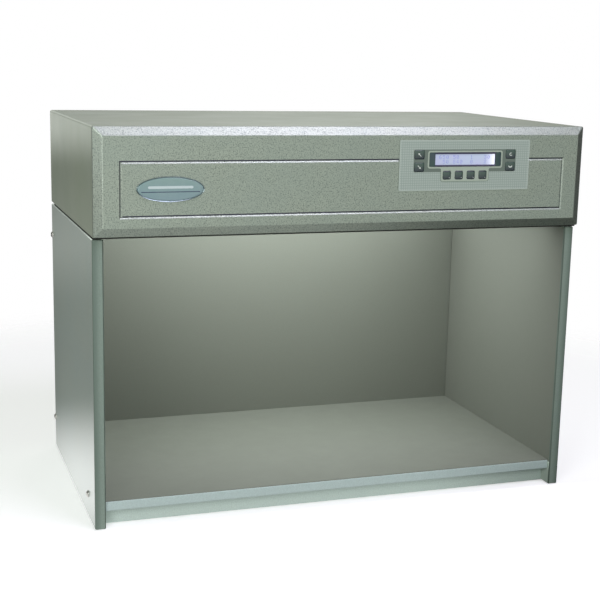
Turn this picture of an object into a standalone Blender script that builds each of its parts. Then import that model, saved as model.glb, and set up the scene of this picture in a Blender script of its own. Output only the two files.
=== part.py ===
"""Colour assessment cabinet: an open viewing booth under a lamp hood.

The booth is five painted boards: two sides, a back, a base and a plinth. The
hood is a folded steel case with a moulded front fascia. It holds five
fluorescent tubes over an opal diffuser, their control gear on a steel tray, a
key panel with a display, and a mains inlet and switch on the rear wall.

Metres, +Z up. X = 0 and Y = 0 are the middle of the width and depth, Z = 0 is
the floor, and the open front faces -Y.
"""

import math

import bmesh
import bpy
from mathutils import Matrix, Vector

MM = 0.001
GAP = 0.3 * MM          # left between pieces that rest on each other

# Cabinet
WIDTH = 710 * MM
DEPTH = 405 * MM
HEIGHT = 545 * MM
BOARD = 15 * MM
PANEL_TOP = 398.3 * MM        # top of the side panels, under the foam strips
PANEL_SETBACK = 16.5 * MM     # panel fronts behind the fascia's face
BASE_SETBACK = 22 * MM
BASE_Z = 23 * MM              # underside of the base board
PLINTH_SETBACK = 38.5 * MM
SCREW_DEPTH = 26 * MM
SCREW_R = 2.4 * MM
SCREW_HOLE_R = 2.7 * MM
SCREW_HEAD_R = 5 * MM
SCREW_HEAD_HEIGHT = 3 * MM
RECESS_ARM = (2.6 * MM, 0.6 * MM)     # half length and half width
RECESS_DEPTH = 1.4 * MM
BOLT_R = 2.2 * MM
BOLT_HEAD_R = 3.6 * MM
BOLT_HEAD_HEIGHT = 2.7 * MM
BOLT_DEPTH = 18 * MM
STRIP_X = (342 * MM, 353.2 * MM)      # foam strips on the side panels' tops
STRIP_Y = (-183 * MM, 185 * MM)
FRONT_STRIP_DEPTH = 5.5 * MM      # foam strip under the hood's front edge
FRONT_STRIP_DROP = 2.3 * MM
SIDE_ROUND = 2.4 * MM         # rounding of the side panels' front edges
BASE_ROUND = 2.5 * MM         # rounding of the base board's front edge

# Hood
HOOD_BOTTOM = 402 * MM
SHEET = 1.5 * MM
CHAMFER = 11.5 * MM           # fascia chamfer, across its face
CHAMFER_DEPTH = 7.5 * MM
RIM = 3 * MM                  # straight rim behind the chamfer
FASCIA_WALL = 2.6 * MM
LIP = 12 * MM                 # fascia lip inside the case
WINDOW_HALF_X = 325 * MM      # opening in the case's floor
WINDOW_HALF_Y = 163 * MM
VENT_BANKS = (-235 * MM, -20 * MM)    # middles of the two banks of cooling slots
VENT_COUNT = 10
VENT_PITCH = 14 * MM
VENT_HALF = (2 * MM, 17 * MM)

# Gear tray, which is also the lamp compartment
TRAY_Y = 15 * MM              # middle of the tray, front to back
TRAY_HALF_X = 337 * MM
TRAY_HALF_Y = 175 * MM
TRAY_TOP = 487.2 * MM
TRAY_SHEET = 1.2 * MM
TRAY_FLANGE = 8 * MM
REFLECTOR_TOP = 480 * MM
REFLECTOR_RIDGE = 464 * MM            # lower edges of its troughs
REFLECTOR_SHEET = 1 * MM
REFLECTOR_HALF_Y = 170 * MM
TROUGH_HALF = 17 * MM
DIFFUSER_INSET = 4 * MM
DIFFUSER_THICK = 3 * MM
BALLAST_X = (-300 * MM, -40 * MM)
BALLAST_Y = (-105 * MM, -40 * MM, 25 * MM)
BALLAST_HALF_Y = 20 * MM
BALLAST_HEIGHT = 28 * MM
SUPPLY_X = (60 * MM, 190 * MM)
SUPPLY_Y = (-110 * MM, -30 * MM)
SUPPLY_HEIGHT = 36 * MM
LOOM_R = 3.2 * MM

# Lamps
LAMP_COUNT = 5
LAMP_PITCH = 63 * MM
LAMP_Z = 445 * MM
LAMP_R = 13 * MM
LAMP_HALF = 294.9 * MM
PIN_R = 1.2 * MM
PIN_LENGTH = 7.1 * MM
PIN_SPREAD = 6.35 * MM
HOLDER_FACE = 295.4 * MM
HOLDER_THICK = 16 * MM
HOLDER_R = 15 * MM
ROTOR_R = 8.6 * MM
ROTOR_DEPTH = 8.6 * MM
ENTRY_WIDTH = 3.2 * MM
CAP_LENGTH = 17 * MM
GLASS_INSET = 0.6 * MM                # glass inside the cap's radius

# Key panel
OVERLAY_X = 165 * MM
OVERLAY_Z = 491.8 * MM
OVERLAY_SIZE = (200 * MM, 70 * MM)
OVERLAY_THICK = 0.8 * MM
DISPLAY_Z = 499.8 * MM
BEZEL_SIZE = (110 * MM, 19.6 * MM)
SCREEN_SIZE = (92.6 * MM, 15.4 * MM)
KEY_PROUD = 1.2 * MM
KEY_FLANGE = 1 * MM
KEY_STEM = 5 * MM
SIDE_KEY = (15 * MM, 12.4 * MM)
ROW_KEY = (12 * MM, 11.8 * MM)
BOARD_FACE = 16.5 * MM        # control board behind the fascia's face
BOARD_THICK = 1.6 * MM
MODULE_BACK = 12 * MM         # display module behind the fascia's face
BOSS_SPACING = (85 * MM, 27 * MM)     # board mounting bosses from the middle
BOSS_R = 3 * MM

# Badge and groove
BADGE_X = -255 * MM
BADGE_Z = 464.4 * MM
BADGE_SIZE = (90 * MM, 33.2 * MM)
BADGE_THICK = 1.8 * MM
GROOVE_HALF_X = 320 * MM
GROOVE_LOW = 428.5 * MM
GROOVE_HIGH = 499.5 * MM
GROOVE_WIDTH = 4 * MM       # at the fascia's face
GROOVE_FLOOR = 0.2 * MM       # at its bottom
GROOVE_DEPTH = 1.15 * MM

# Rear connections
INLET_X = 262 * MM
INLET_Z = 514 * MM
INLET_FLANGE = (32 * MM, 38 * MM)
INLET_BODY = (27 * MM, 33 * MM)
FLANGE_THICK = 2 * MM
SOCKET_Z = 521 * MM
SOCKET_SIZE = (24.4 * MM, 16.6 * MM)
DRAWER_Z = 503.5 * MM
DRAWER_SIZE = (23 * MM, 8.6 * MM)
DRAWER_DEPTH = 23 * MM
SOCKET_DEPTH = 18 * MM
BLADES = ((-7 * MM, -2 * MM), (7 * MM, -2 * MM), (0, 2 * MM))
SWITCH_X = 215 * MM
SWITCH_Z = 514 * MM
SWITCH_FLANGE = (19 * MM, 30 * MM)
SWITCH_BODY = (16.6 * MM, 27 * MM)
SWITCH_HOLE = (13 * MM, 22.4 * MM)
ROCKER_TILT = math.radians(8)

FRONT = -DEPTH / 2
REAR = DEPTH / 2
HALF_W = WIDTH / 2
INNER_X = HALF_W - BOARD
RIM_BACK = FRONT + CHAMFER_DEPTH + RIM
CASE_FLOOR = HOOD_BOTTOM + SHEET
TRAY_FLOOR = CASE_FLOOR + GAP
OVERLAY_BACK = FRONT - GAP
OVERLAY_FACE = OVERLAY_BACK - OVERLAY_THICK
REAR_FLANGE = REAR + GAP
ROCKER_Y = REAR - 2.5 * MM
SCREW_ROWS = {
    "front": (FRONT + 73 * MM, BASE_Z + BOARD / 2 + 2 * MM),
    "rear_low": (REAR - BOARD / 2, 50 * MM),
    "rear_high": (REAR - BOARD / 2, 350 * MM),
}
BOLT_X = 349.4 * MM
BOLT_Y = 150 * MM
SIDE_KEYS = {
    "key_upper_left": (94.6 * MM, 506.8 * MM),
    "key_lower_left": (94.6 * MM, 489.6 * MM),
    "key_upper_right": (235 * MM, 506.8 * MM),
    "key_lower_right": (235 * MM, 489.6 * MM),
}
ROW_KEYS = {f"key_row_{i + 1}": ((137.2 + 18.4 * i) * MM, 478.2 * MM) for i in range(4)}

# Material name: (red, green, blue), roughness, metallic
FINISHES = {
    "painted_board": ((0.29, 0.35, 0.31), 0.5, 0.0),
    "hood_paint": ((0.31, 0.36, 0.28), 0.4, 0.0),
    "fascia_paint": ((0.30, 0.35, 0.29), 0.5, 0.0),
    "gear_paint": ((0.85, 0.86, 0.85), 0.4, 0.0),
    "reflector": ((0.9, 0.9, 0.9), 0.2, 1.0),
    "opal": ((0.9, 0.91, 0.92), 0.5, 0.0),
    "lamp_glass": ((0.92, 0.93, 0.95), 0.3, 0.0),
    "holder_plastic": ((0.85, 0.85, 0.83), 0.4, 0.0),
    "ballast_case": ((0.75, 0.76, 0.78), 0.4, 1.0),
    "screw_steel": ((0.72, 0.72, 0.7), 0.3, 1.0),
    "foam_rubber": ((0.03, 0.03, 0.03), 0.9, 0.0),
    "circuit_board": ((0.03, 0.2, 0.08), 0.4, 0.0),
    "display_glass": ((0.56, 0.6, 0.75), 0.2, 0.0),
    "bezel_plastic": ((0.05, 0.05, 0.07), 0.3, 0.0),
    "overlay_film": ((0.37, 0.44, 0.37), 0.4, 0.0),
    "key_film": ((0.03, 0.07, 0.05), 0.35, 0.0),
    "badge_enamel": ((0.25, 0.32, 0.4), 0.25, 0.4),
    "black_plastic": ((0.02, 0.02, 0.02), 0.4, 0.0),
    "wire_sleeve": ((0.05, 0.05, 0.05), 0.6, 0.0),
}

# Which axes a section lies across: level axis, then the section's two axes
SECTION = {"X": (0, 1, 2), "Y": (1, 0, 2), "Z": (2, 0, 1)}


def clear_scene():
    for existing in list(bpy.data.objects):
        bpy.data.objects.remove(existing, do_unlink=True)


def make_material(name):
    colour, roughness, metallic = FINISHES[name]
    material = bpy.data.materials.new(name)
    material.use_nodes = True
    shader = material.node_tree.nodes["Principled BSDF"]
    shader.inputs["Base Color"].default_value = (*colour, 1)
    shader.inputs["Roughness"].default_value = roughness
    shader.inputs["Metallic"].default_value = metallic
    material.diffuse_color = (*colour, 1)
    return material


def make_empty(name, location):
    empty = bpy.data.objects.new(name, None)
    empty.location = location
    bpy.context.scene.collection.objects.link(empty)
    return empty


def point(axis, level, a, b):
    """A point at a level along axis, a and b across it."""
    coords = [0.0, 0.0, 0.0]
    for index, value in zip(SECTION[axis], (level, a, b)):
        coords[index] = value
    return Vector(coords)


def rectangle(half_a, half_b, radius=0.0, steps=2):
    """Outline of a rectangle about its middle, with rounded corners if radius is set."""
    if radius <= 0:
        return [(half_a, half_b), (-half_a, half_b), (-half_a, -half_b), (half_a, -half_b)]
    outline = []
    for sign_a, sign_b, start in ((1, 1, 0), (-1, 1, 90), (-1, -1, 180), (1, -1, 270)):
        for step in range(steps + 1):
            angle = math.radians(start + 90 * step / steps)
            a = sign_a * (half_a - radius) + radius * math.cos(angle)
            b = sign_b * (half_b - radius) + radius * math.sin(angle)
            outline.append((a, b))
    return outline


def ellipse(half_a, half_b, sides):
    turns = [2 * math.pi * i / sides for i in range(sides)]
    return [(half_a * math.cos(turn), half_b * math.sin(turn)) for turn in turns]


def skin(rings):
    """Closed mesh through rings of points. A ring of one point is a tip."""
    bm = bmesh.new()
    rows = [[bm.verts.new(corner) for corner in ring] for ring in rings]
    for low, high in zip(rows, rows[1:]):
        count = max(len(low), len(high))
        for i in range(count):
            j = (i + 1) % count
            corners = (low[i % len(low)], low[j % len(low)],
                       high[j % len(high)], high[i % len(high)])
            bm.faces.new(list(dict.fromkeys(corners)))
    for row in (rows[0], rows[-1]):
        if len(row) > 2:
            bm.faces.new(row)
    bmesh.ops.recalc_face_normals(bm, faces=bm.faces)
    return bm


def loft(axis, centre, sections):
    """Skin through (level, outline) sections; centre is the outlines' middle."""
    a, b = centre
    return skin([[point(axis, level, a + u, b + v) for u, v in outline]
                 for level, outline in sections])


def turned(axis, centre, profile, sides):
    """A turned piece from (level, radius) pairs; radius 0 is a tip."""
    sections = []
    for level, radius in profile:
        sections.append((level, ellipse(radius, radius, sides) if radius else [(0, 0)]))
    return loft(axis, centre, sections)


def box(low, high):
    low, high = Vector(low), Vector(high)
    middle, half = (low + high) / 2, (high - low) / 2
    outline = rectangle(half.x, half.y)
    return loft("Z", middle.xy, [(low.z, outline), (high.z, outline)])


def rod(axis, centre, low, high, radius, sides=12):
    return turned(axis, centre, [(low, radius), (high, radius)], sides)


def merge(*meshes):
    """Several meshes in one, still as separate bodies, for a cutter."""
    whole = meshes[0]
    for other in meshes[1:]:
        copy = bpy.data.meshes.new("merge")
        other.to_mesh(copy)
        other.free()
        whole.from_mesh(copy)
        bpy.data.meshes.remove(copy)
    return whole


def bevel_edges(bm, radius, segments, chosen=lambda edge: True):
    edges = [edge for edge in bm.edges if chosen(edge)]
    bmesh.ops.bevel(bm, geom=edges, offset=radius, segments=segments,
                    profile=0.5, affect="EDGES", clamp_overlap=True)
    return bm


def on_plane(axis, level):
    """Test for edges that lie on a plane across X, Y or Z."""
    index = "XYZ".index(axis)
    return lambda edge: all(abs(vert.co[index] - level) < 1e-6 for vert in edge.verts)


def add_object(name, bm, finish=None, parent=None, origin=(0, 0, 0), smooth=False):
    """Object from a mesh in world coordinates, with its own origin."""
    origin = Vector(origin)
    bmesh.ops.translate(bm, verts=bm.verts, vec=-origin)
    mesh = bpy.data.meshes.new(name)
    bm.to_mesh(mesh)
    bm.free()
    if smooth:
        mesh.shade_smooth()
        mesh.set_sharp_from_angle(angle=math.radians(35))
    if finish:
        mesh.materials.append(finish)
    built = bpy.data.objects.new(name, mesh)
    bpy.context.scene.collection.objects.link(built)
    if parent:
        built.parent = parent
        built.location = origin - parent.location
    else:
        built.location = origin
    return built


def shape_with(target, bm, operation="DIFFERENCE"):
    """Cut bm from the target, or join it to the target with UNION."""
    tool = add_object(f"tool_{target.name}_{len(target.modifiers)}", bm)
    tool.hide_render = True
    tool.display_type = "WIRE"
    modifier = target.modifiers.new(operation.title(), "BOOLEAN")
    modifier.operation = operation
    modifier.solver = "EXACT"
    modifier.object = tool


def baked_mesh(name, target):
    """The target's mesh with its modifiers applied; the target and its tools go."""
    graph = bpy.context.evaluated_depsgraph_get()
    mesh = bpy.data.meshes.new_from_object(target.evaluated_get(graph))
    mesh.name = name
    for modifier in list(target.modifiers):
        bpy.data.objects.remove(modifier.object, do_unlink=True)
    bpy.data.objects.remove(target, do_unlink=True)
    return mesh


def build_boards(paint, booth):
    """The booth's two sides, back, base board and plinth."""
    panel_front = FRONT + PANEL_SETBACK
    for side, sign in (("left", -1), ("right", 1)):
        edges_x = sorted((sign * INNER_X, sign * HALF_W))
        panel = box((edges_x[0], panel_front, 0), (edges_x[1], REAR, PANEL_TOP))
        bevel_edges(panel, SIDE_ROUND, 3, on_plane("Y", panel_front))
        board = add_object(f"{side}_side_panel", panel, paint, booth)
        holes = [rod("X", place, edges_x[0] - BOARD, edges_x[1] + BOARD, SCREW_HOLE_R)
                 for place in SCREW_ROWS.values()]
        holes += [rod("Z", (sign * BOLT_X, y), PANEL_TOP - SCREW_DEPTH, PANEL_TOP + BOARD,
                      SCREW_HOLE_R) for y in (-BOLT_Y, BOLT_Y)]
        shape_with(board, merge(*holes))

    inner = INNER_X - GAP
    back = box((-inner, REAR - BOARD, 0), (inner, REAR, HOOD_BOTTOM - GAP))
    bevel_edges(back, 0.8 * MM, 1)
    back = add_object("back_panel", back, paint, booth)
    shape_with(back, merge(*end_holes(("rear_low", "rear_high"))))

    base_front = FRONT + BASE_SETBACK
    base = box((-inner, base_front, BASE_Z), (inner, REAR - BOARD - GAP, BASE_Z + BOARD))
    bevel_edges(base, BASE_ROUND, 5, along_x_at_front(base_front))
    base = add_object("base_board", base, paint, booth, smooth=True)
    shape_with(base, merge(*end_holes(("front",))))

    plinth_front = FRONT + PLINTH_SETBACK
    plinth = box((-inner, plinth_front, 0), (inner, plinth_front + BOARD, BASE_Z - GAP))
    bevel_edges(plinth, 0.8 * MM, 1)
    add_object("plinth", plinth, paint, booth)


def along_x_at_front(front):
    """Test for edges along X on the plane Y = front."""
    on_front = on_plane("Y", front)
    return lambda edge: on_front(edge) and abs(edge.verts[0].co.z - edge.verts[1].co.z) < 1e-6


def end_holes(rows):
    """Screw holes in both ends of a board that spans the booth."""
    reach = HALF_W - SCREW_DEPTH - GAP
    return [rod("X", SCREW_ROWS[row], sign * reach, sign * HALF_W, SCREW_HOLE_R)
            for row in rows for sign in (-1, 1)]


def build_screws(steel, booth):
    """Dome-head screws through the side panels, driven along -X from the right."""
    dome = [(GAP + SCREW_HEAD_HEIGHT * math.sin(math.radians(turn)),
             SCREW_HEAD_R * math.cos(math.radians(turn))) for turn in (15, 42, 68)]
    crown = GAP + SCREW_HEAD_HEIGHT
    profile = [(-SCREW_DEPTH, 0), (-SCREW_DEPTH + 2 * MM, SCREW_R), (GAP, SCREW_R), (GAP, SCREW_HEAD_R)]
    screw = turned("X", (0, 0), profile + dome + [(crown, 0)], 16)
    template = add_object("screw_template", screw, steel, smooth=True)
    arms = [box((crown - RECESS_DEPTH, -a, -b), (crown + SCREW_HEAD_R, a, b))
            for a, b in (RECESS_ARM, RECESS_ARM[::-1])]
    for arm in arms:
        shape_with(template, arm)
    mesh = baked_mesh("side_screw", template)
    for side, sign in (("left", -1), ("right", 1)):
        for row, (y, z) in SCREW_ROWS.items():
            screw = bpy.data.objects.new(f"side_screw_{side}_{row}", mesh)
            screw.parent = booth
            screw.location = (sign * HALF_W, y, z)
            screw.rotation_euler.z = 0 if sign > 0 else math.pi
            bpy.context.scene.collection.objects.link(screw)


def build_hood_joint(steel, rubber, booth):
    """Foam strips under the hood, and its bolts into the side panels."""
    for side, sign in (("left", -1), ("right", 1)):
        edges_x = sorted(sign * x for x in STRIP_X)
        strip = box((edges_x[0], STRIP_Y[0], PANEL_TOP + GAP),
                    (edges_x[1], STRIP_Y[1], HOOD_BOTTOM - GAP))
        strip = add_object(f"seat_strip_{side}", strip, rubber, booth)
        shape_with(strip, merge(*[rod("Z", (sign * BOLT_X, y), PANEL_TOP, HOOD_BOTTOM, SCREW_HOLE_R)
                                  for y in (-BOLT_Y, BOLT_Y)]))
        for place, y in (("front", -BOLT_Y), ("rear", BOLT_Y)):
            seat = CASE_FLOOR + GAP
            profile = [(PANEL_TOP - BOLT_DEPTH, BOLT_R), (seat, BOLT_R),
                       (seat, BOLT_HEAD_R), (seat + BOLT_HEAD_HEIGHT, BOLT_HEAD_R)]
            bolt = turned("Z", (sign * BOLT_X, y), profile, 16)
            add_object(f"hood_bolt_{side}_{place}", bolt, steel, booth, smooth=True)
    reach, back = STRIP_X[1], RIM_BACK + GAP + FRONT_STRIP_DEPTH
    front_strip = box((-reach, RIM_BACK + GAP, HOOD_BOTTOM - FRONT_STRIP_DROP),
                      (reach, back, HOOD_BOTTOM - GAP))
    bevel_edges(front_strip, 0.4 * MM, 1)
    add_object("seat_strip_front", front_strip, rubber, booth)


def build_case(paint, hood):
    """Folded steel case, open at the front, with a window in its floor."""
    case = box((-HALF_W, RIM_BACK + GAP, HOOD_BOTTOM), (HALF_W, REAR, HEIGHT))
    bevel_edges(case, 3 * MM, 3, is_long_top_edge)
    case = add_object("lamp_housing", case, paint, hood, smooth=True)
    inner_x = HALF_W - SHEET
    inside = box((-inner_x, FRONT - BOARD, CASE_FLOOR), (inner_x, REAR - SHEET, HEIGHT - SHEET))
    shape_with(case, inside)
    shape_with(case, box((-WINDOW_HALF_X, TRAY_Y - WINDOW_HALF_Y, HOOD_BOTTOM - BOARD),
                         (WINDOW_HALF_X, TRAY_Y + WINDOW_HALF_Y, CASE_FLOOR + BOARD)))
    through = (HOOD_BOTTOM - BOARD, CASE_FLOOR + BOARD)
    bolt_holes = [rod("Z", (sign * BOLT_X, y), *through, SCREW_HOLE_R)
                  for sign in (-1, 1) for y in (-BOLT_Y, BOLT_Y)]
    shape_with(case, merge(*bolt_holes))
    shape_with(case, merge(*rear_cutouts()))


def is_long_top_edge(edge):
    """The case's two top edges that run front to back."""
    first, second = (vert.co for vert in edge.verts)
    on_top = abs(first.z - HEIGHT) < 1e-6 and abs(second.z - HEIGHT) < 1e-6
    return on_top and abs(first.x - second.x) < 1e-6


def rear_cutouts():
    """Cooling slots, and the inlet's and the switch's holes, in the rear wall."""
    wall = (REAR - BOARD, REAR + BOARD)
    tools = []
    for bank_x in VENT_BANKS:
        for i in range(VENT_COUNT):
            x = bank_x + (i - (VENT_COUNT - 1) / 2) * VENT_PITCH
            outline = rectangle(*VENT_HALF, radius=VENT_HALF[0] / 2, steps=1)
            tools.append(loft("Y", (x, SWITCH_Z), [(y, outline) for y in wall]))
    for x, z, size in ((INLET_X, INLET_Z, INLET_BODY), (SWITCH_X, SWITCH_Z, SWITCH_BODY)):
        outline = rectangle(size[0] / 2 + GAP, size[1] / 2 + GAP)
        tools.append(loft("Y", (x, z), [(y, outline) for y in wall]))
    return tools


def build_fascia(paint, hood):
    """Moulded front with a chamfered edge, a groove and the key panel's holes."""
    middle = (0, (HOOD_BOTTOM + HEIGHT) / 2)
    half = (HALF_W, (HEIGHT - HOOD_BOTTOM) / 2)

    def section(level, inset):
        radius = 2 * MM if inset < CHAMFER else 1 * MM
        return level, rectangle(half[0] - inset, half[1] - inset, radius, 2)

    lip_in = SHEET + GAP
    shell = loft("Y", middle, [
        section(FRONT, CHAMFER + 0.8 * MM),
        section(FRONT + 0.15 * MM, CHAMFER + 0.1 * MM),
        section(FRONT + 0.6 * MM, CHAMFER - 0.7 * MM),
        section(FRONT + CHAMFER_DEPTH - 0.4 * MM, 0.45 * MM),
        section(FRONT + CHAMFER_DEPTH + 0.3 * MM, 0),
        section(RIM_BACK, 0),
        section(RIM_BACK, lip_in),
        section(RIM_BACK + LIP, lip_in),
        section(RIM_BACK + LIP, lip_in + 2.2 * MM),
        section(FRONT + CHAMFER_DEPTH + 1.5 * MM, lip_in + 2.2 * MM),
        section(FRONT + FASCIA_WALL, CHAMFER + 1.2 * MM),
    ])
    fascia = add_object("front_fascia", shell, paint, hood, smooth=True)

    boss_x, boss_z = BOSS_SPACING
    bosses = [rod("Y", (OVERLAY_X + dx, OVERLAY_Z + dz), FRONT + FASCIA_WALL - MM,
                  FRONT + BOARD_FACE - GAP, BOSS_R)
              for dx in (-boss_x, boss_x) for dz in (-boss_z, boss_z)]
    shape_with(fascia, merge(*bosses), "UNION")
    shape_with(fascia, groove_tool())
    openings = [((OVERLAY_X, DISPLAY_Z), (SCREEN_SIZE[0] / 2 + MM, SCREEN_SIZE[1] / 2 + MM))]
    openings += key_openings(KEY_FLANGE + GAP)
    through = (FRONT - BOARD, FRONT + FASCIA_WALL + MM)
    shape_with(fascia, merge(*[loft("Y", place, [(y, rectangle(*size)) for y in through])
                               for place, size in openings]))


def groove_tool():
    """A rectangular ring that engraves the fascia's border line as a V groove."""
    middle = (0, (GROOVE_LOW + GROOVE_HIGH) / 2)
    half_z = (GROOVE_HIGH - GROOVE_LOW) / 2
    slope = (GROOVE_WIDTH - GROOVE_FLOOR) / 2 / GROOVE_DEPTH
    top, bottom = FRONT - MM, FRONT + GROOVE_DEPTH
    reach_top = GROOVE_WIDTH / 2 + slope * MM
    reach_bottom = GROOVE_FLOOR / 2
    section = ((top, -reach_top), (top, reach_top), (bottom, reach_bottom), (bottom, -reach_bottom))
    bm = bmesh.new()
    rows = []
    for level, inset in section:
        ring = [point("Y", level, middle[0] + a, middle[1] + b)
                for a, b in rectangle(GROOVE_HALF_X - inset, half_z - inset)]
        rows.append([bm.verts.new(corner) for corner in ring])
    for low, high in zip(rows, rows[1:] + rows[:1]):
        for i in range(4):
            j = (i + 1) % 4
            bm.faces.new((low[i], low[j], high[j], high[i]))
    bmesh.ops.recalc_face_normals(bm, faces=bm.faces)
    return bm


def key_openings(clearance):
    """Places and half sizes of the holes that the eight keys pass through."""
    holes = []
    for places, size in ((SIDE_KEYS, SIDE_KEY), (ROW_KEYS, ROW_KEY)):
        for place in places.values():
            holes.append((place, (size[0] / 2 + clearance, size[1] / 2 + clearance)))
    return holes


def build_key_panel(materials, hood):
    """Front film, display and its board; the eight keys slide in their holes."""
    outline = rectangle(OVERLAY_SIZE[0] / 2, OVERLAY_SIZE[1] / 2, 1.5 * MM, 2)
    sheet = loft("Y", (OVERLAY_X, OVERLAY_Z), [(OVERLAY_FACE, outline), (OVERLAY_BACK, outline)])
    sheet = add_object("key_overlay", sheet, materials["overlay_film"], hood)
    openings = [((OVERLAY_X, DISPLAY_Z), (BEZEL_SIZE[0] / 2 + GAP, BEZEL_SIZE[1] / 2 + GAP))]
    openings += key_openings(GAP)
    through = (FRONT - BOARD, FRONT + BOARD)
    shape_with(sheet, merge(*[loft("Y", place, [(y, rectangle(*size)) for y in through])
                              for place, size in openings]))

    bezel_half = (BEZEL_SIZE[0] / 2, BEZEL_SIZE[1] / 2)
    screen_half = (SCREEN_SIZE[0] / 2, SCREEN_SIZE[1] / 2)
    bezel = loft("Y", (OVERLAY_X, DISPLAY_Z), [
        (OVERLAY_BACK, rectangle(*bezel_half, 1.5 * MM, 2)),
        (OVERLAY_FACE - 0.4 * MM, rectangle(*bezel_half, 1.5 * MM, 2)),
    ])
    bezel = add_object("display_bezel", bezel, materials["bezel_plastic"], hood)
    shape_with(bezel, loft("Y", (OVERLAY_X, DISPLAY_Z), [
        (FRONT - BOARD, rectangle(*screen_half)), (FRONT + BOARD, rectangle(*screen_half))]))

    neck = rectangle(screen_half[0] + 0.6 * MM, screen_half[1] + 0.6 * MM)
    body = rectangle(screen_half[0] + 6 * MM, screen_half[1] + 4.5 * MM)
    header = rectangle(30 * MM, 2.5 * MM)
    step, back = FRONT + FASCIA_WALL + MM, FRONT + MODULE_BACK
    module = loft("Y", (OVERLAY_X, DISPLAY_Z), [
        (FRONT + GAP, neck), (step, neck), (step, body),
        (back, body), (back, header), (FRONT + BOARD_FACE - GAP, header)])
    add_object("display_module", module, materials["display_glass"], hood)

    board_half = (OVERLAY_SIZE[0] / 2 - 8 * MM, OVERLAY_SIZE[1] / 2 - 3 * MM)
    parts_half = (60 * MM, 20 * MM)
    near, far = FRONT + BOARD_FACE, FRONT + BOARD_FACE + BOARD_THICK
    board = loft("Y", (OVERLAY_X, OVERLAY_Z), [
        (near, rectangle(*board_half)), (far, rectangle(*board_half)),
        (far, rectangle(*parts_half)), (near + 7 * MM, rectangle(*parts_half))])
    add_object("control_board", board, materials["circuit_board"], hood)

    for places, size in ((SIDE_KEYS, SIDE_KEY), (ROW_KEYS, ROW_KEY)):
        for name, place in places.items():
            build_key(name, place, size, materials["key_film"], hood)


def build_key(name, place, size, film, hood):
    """A raised cap, a flange that stops behind the film, and a stem."""
    half_x, half_z = size[0] / 2, size[1] / 2
    face = OVERLAY_FACE - KEY_PROUD

    def cap(inset):
        return rectangle(half_x - inset, half_z - inset, 1.2 * MM, 2)

    flange_front = FRONT + 0.1 * MM
    stem = rectangle(KEY_STEM / 2, KEY_STEM / 2, 1.2 * MM, 2)
    body = loft("Y", place, [
        (face, cap(2.2 * MM)), (face + 0.25 * MM, cap(1.1 * MM)), (face + 0.8 * MM, cap(0.25 * MM)),
        (face + KEY_PROUD, cap(0)), (flange_front, cap(0)), (flange_front, cap(-KEY_FLANGE)),
        (flange_front + KEY_FLANGE, cap(-KEY_FLANGE)), (flange_front + KEY_FLANGE, stem),
        (FRONT + BOARD_FACE - MM, stem)])
    add_object(name, body, film, hood, origin=(place[0], face, place[1]), smooth=True)


def build_badge(enamel, hood):
    """Oval name plate, left blank, with a rounded rim."""
    half = (BADGE_SIZE[0] / 2, BADGE_SIZE[1] / 2)
    face = OVERLAY_BACK - BADGE_THICK
    plate = loft("Y", (BADGE_X, BADGE_Z), [
        (OVERLAY_BACK, ellipse(*half, 40)),
        (face + 0.6 * MM, ellipse(*half, 40)),
        (face, ellipse(half[0] - 0.7 * MM, half[1] - 0.7 * MM, 40)),
        (face, ellipse(half[0] - 2 * MM, half[1] - 2 * MM, 40)),
        (face + 0.5 * MM, ellipse(half[0] - 2.4 * MM, half[1] - 2.4 * MM, 40))])
    add_object("badge", plate, enamel, hood, smooth=True)


def build_tray(materials, hood):
    """Gear tray, reflector and diffuser."""
    middle = (0, TRAY_Y)
    inner = rectangle(TRAY_HALF_X - TRAY_SHEET, TRAY_HALF_Y - TRAY_SHEET)
    outer = rectangle(TRAY_HALF_X, TRAY_HALF_Y)
    flange = rectangle(TRAY_HALF_X + TRAY_FLANGE, TRAY_HALF_Y + TRAY_FLANGE)
    tray = loft("Z", middle, [
        (TRAY_TOP, outer), (TRAY_FLOOR + TRAY_SHEET, outer), (TRAY_FLOOR + TRAY_SHEET, flange),
        (TRAY_FLOOR, flange), (TRAY_FLOOR, inner), (TRAY_TOP - TRAY_SHEET, inner)])
    add_object("gear_tray", tray, materials["gear_paint"], hood)

    crest = [(TRAY_Y - REFLECTOR_HALF_Y, REFLECTOR_RIDGE)]
    for y in lamp_places():
        crest += [(y - TROUGH_HALF, REFLECTOR_TOP), (y + TROUGH_HALF, REFLECTOR_TOP),
                  (y + LAMP_PITCH / 2, REFLECTOR_RIDGE)]
    crest[-1] = (TRAY_Y + REFLECTOR_HALF_Y, REFLECTOR_RIDGE)
    section = crest + [(y, z + REFLECTOR_SHEET) for y, z in reversed(crest)]
    end = HOLDER_FACE - 2 * MM
    reflector = skin([[point("X", x, y, z) for y, z in section] for x in (-end, end)])
    add_object("reflector", reflector, materials["reflector"], hood)

    outline = rectangle(TRAY_HALF_X - DIFFUSER_INSET, TRAY_HALF_Y - DIFFUSER_INSET, 3 * MM, 2)
    diffuser = loft("Z", middle, [(TRAY_FLOOR, outline), (TRAY_FLOOR + DIFFUSER_THICK, outline)])
    add_object("diffuser", diffuser, materials["opal"], hood, origin=(0, TRAY_Y, TRAY_FLOOR))


def lamp_places():
    first = TRAY_Y - LAMP_PITCH * (LAMP_COUNT - 1) / 2
    return [first + LAMP_PITCH * i for i in range(LAMP_COUNT)]


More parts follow.
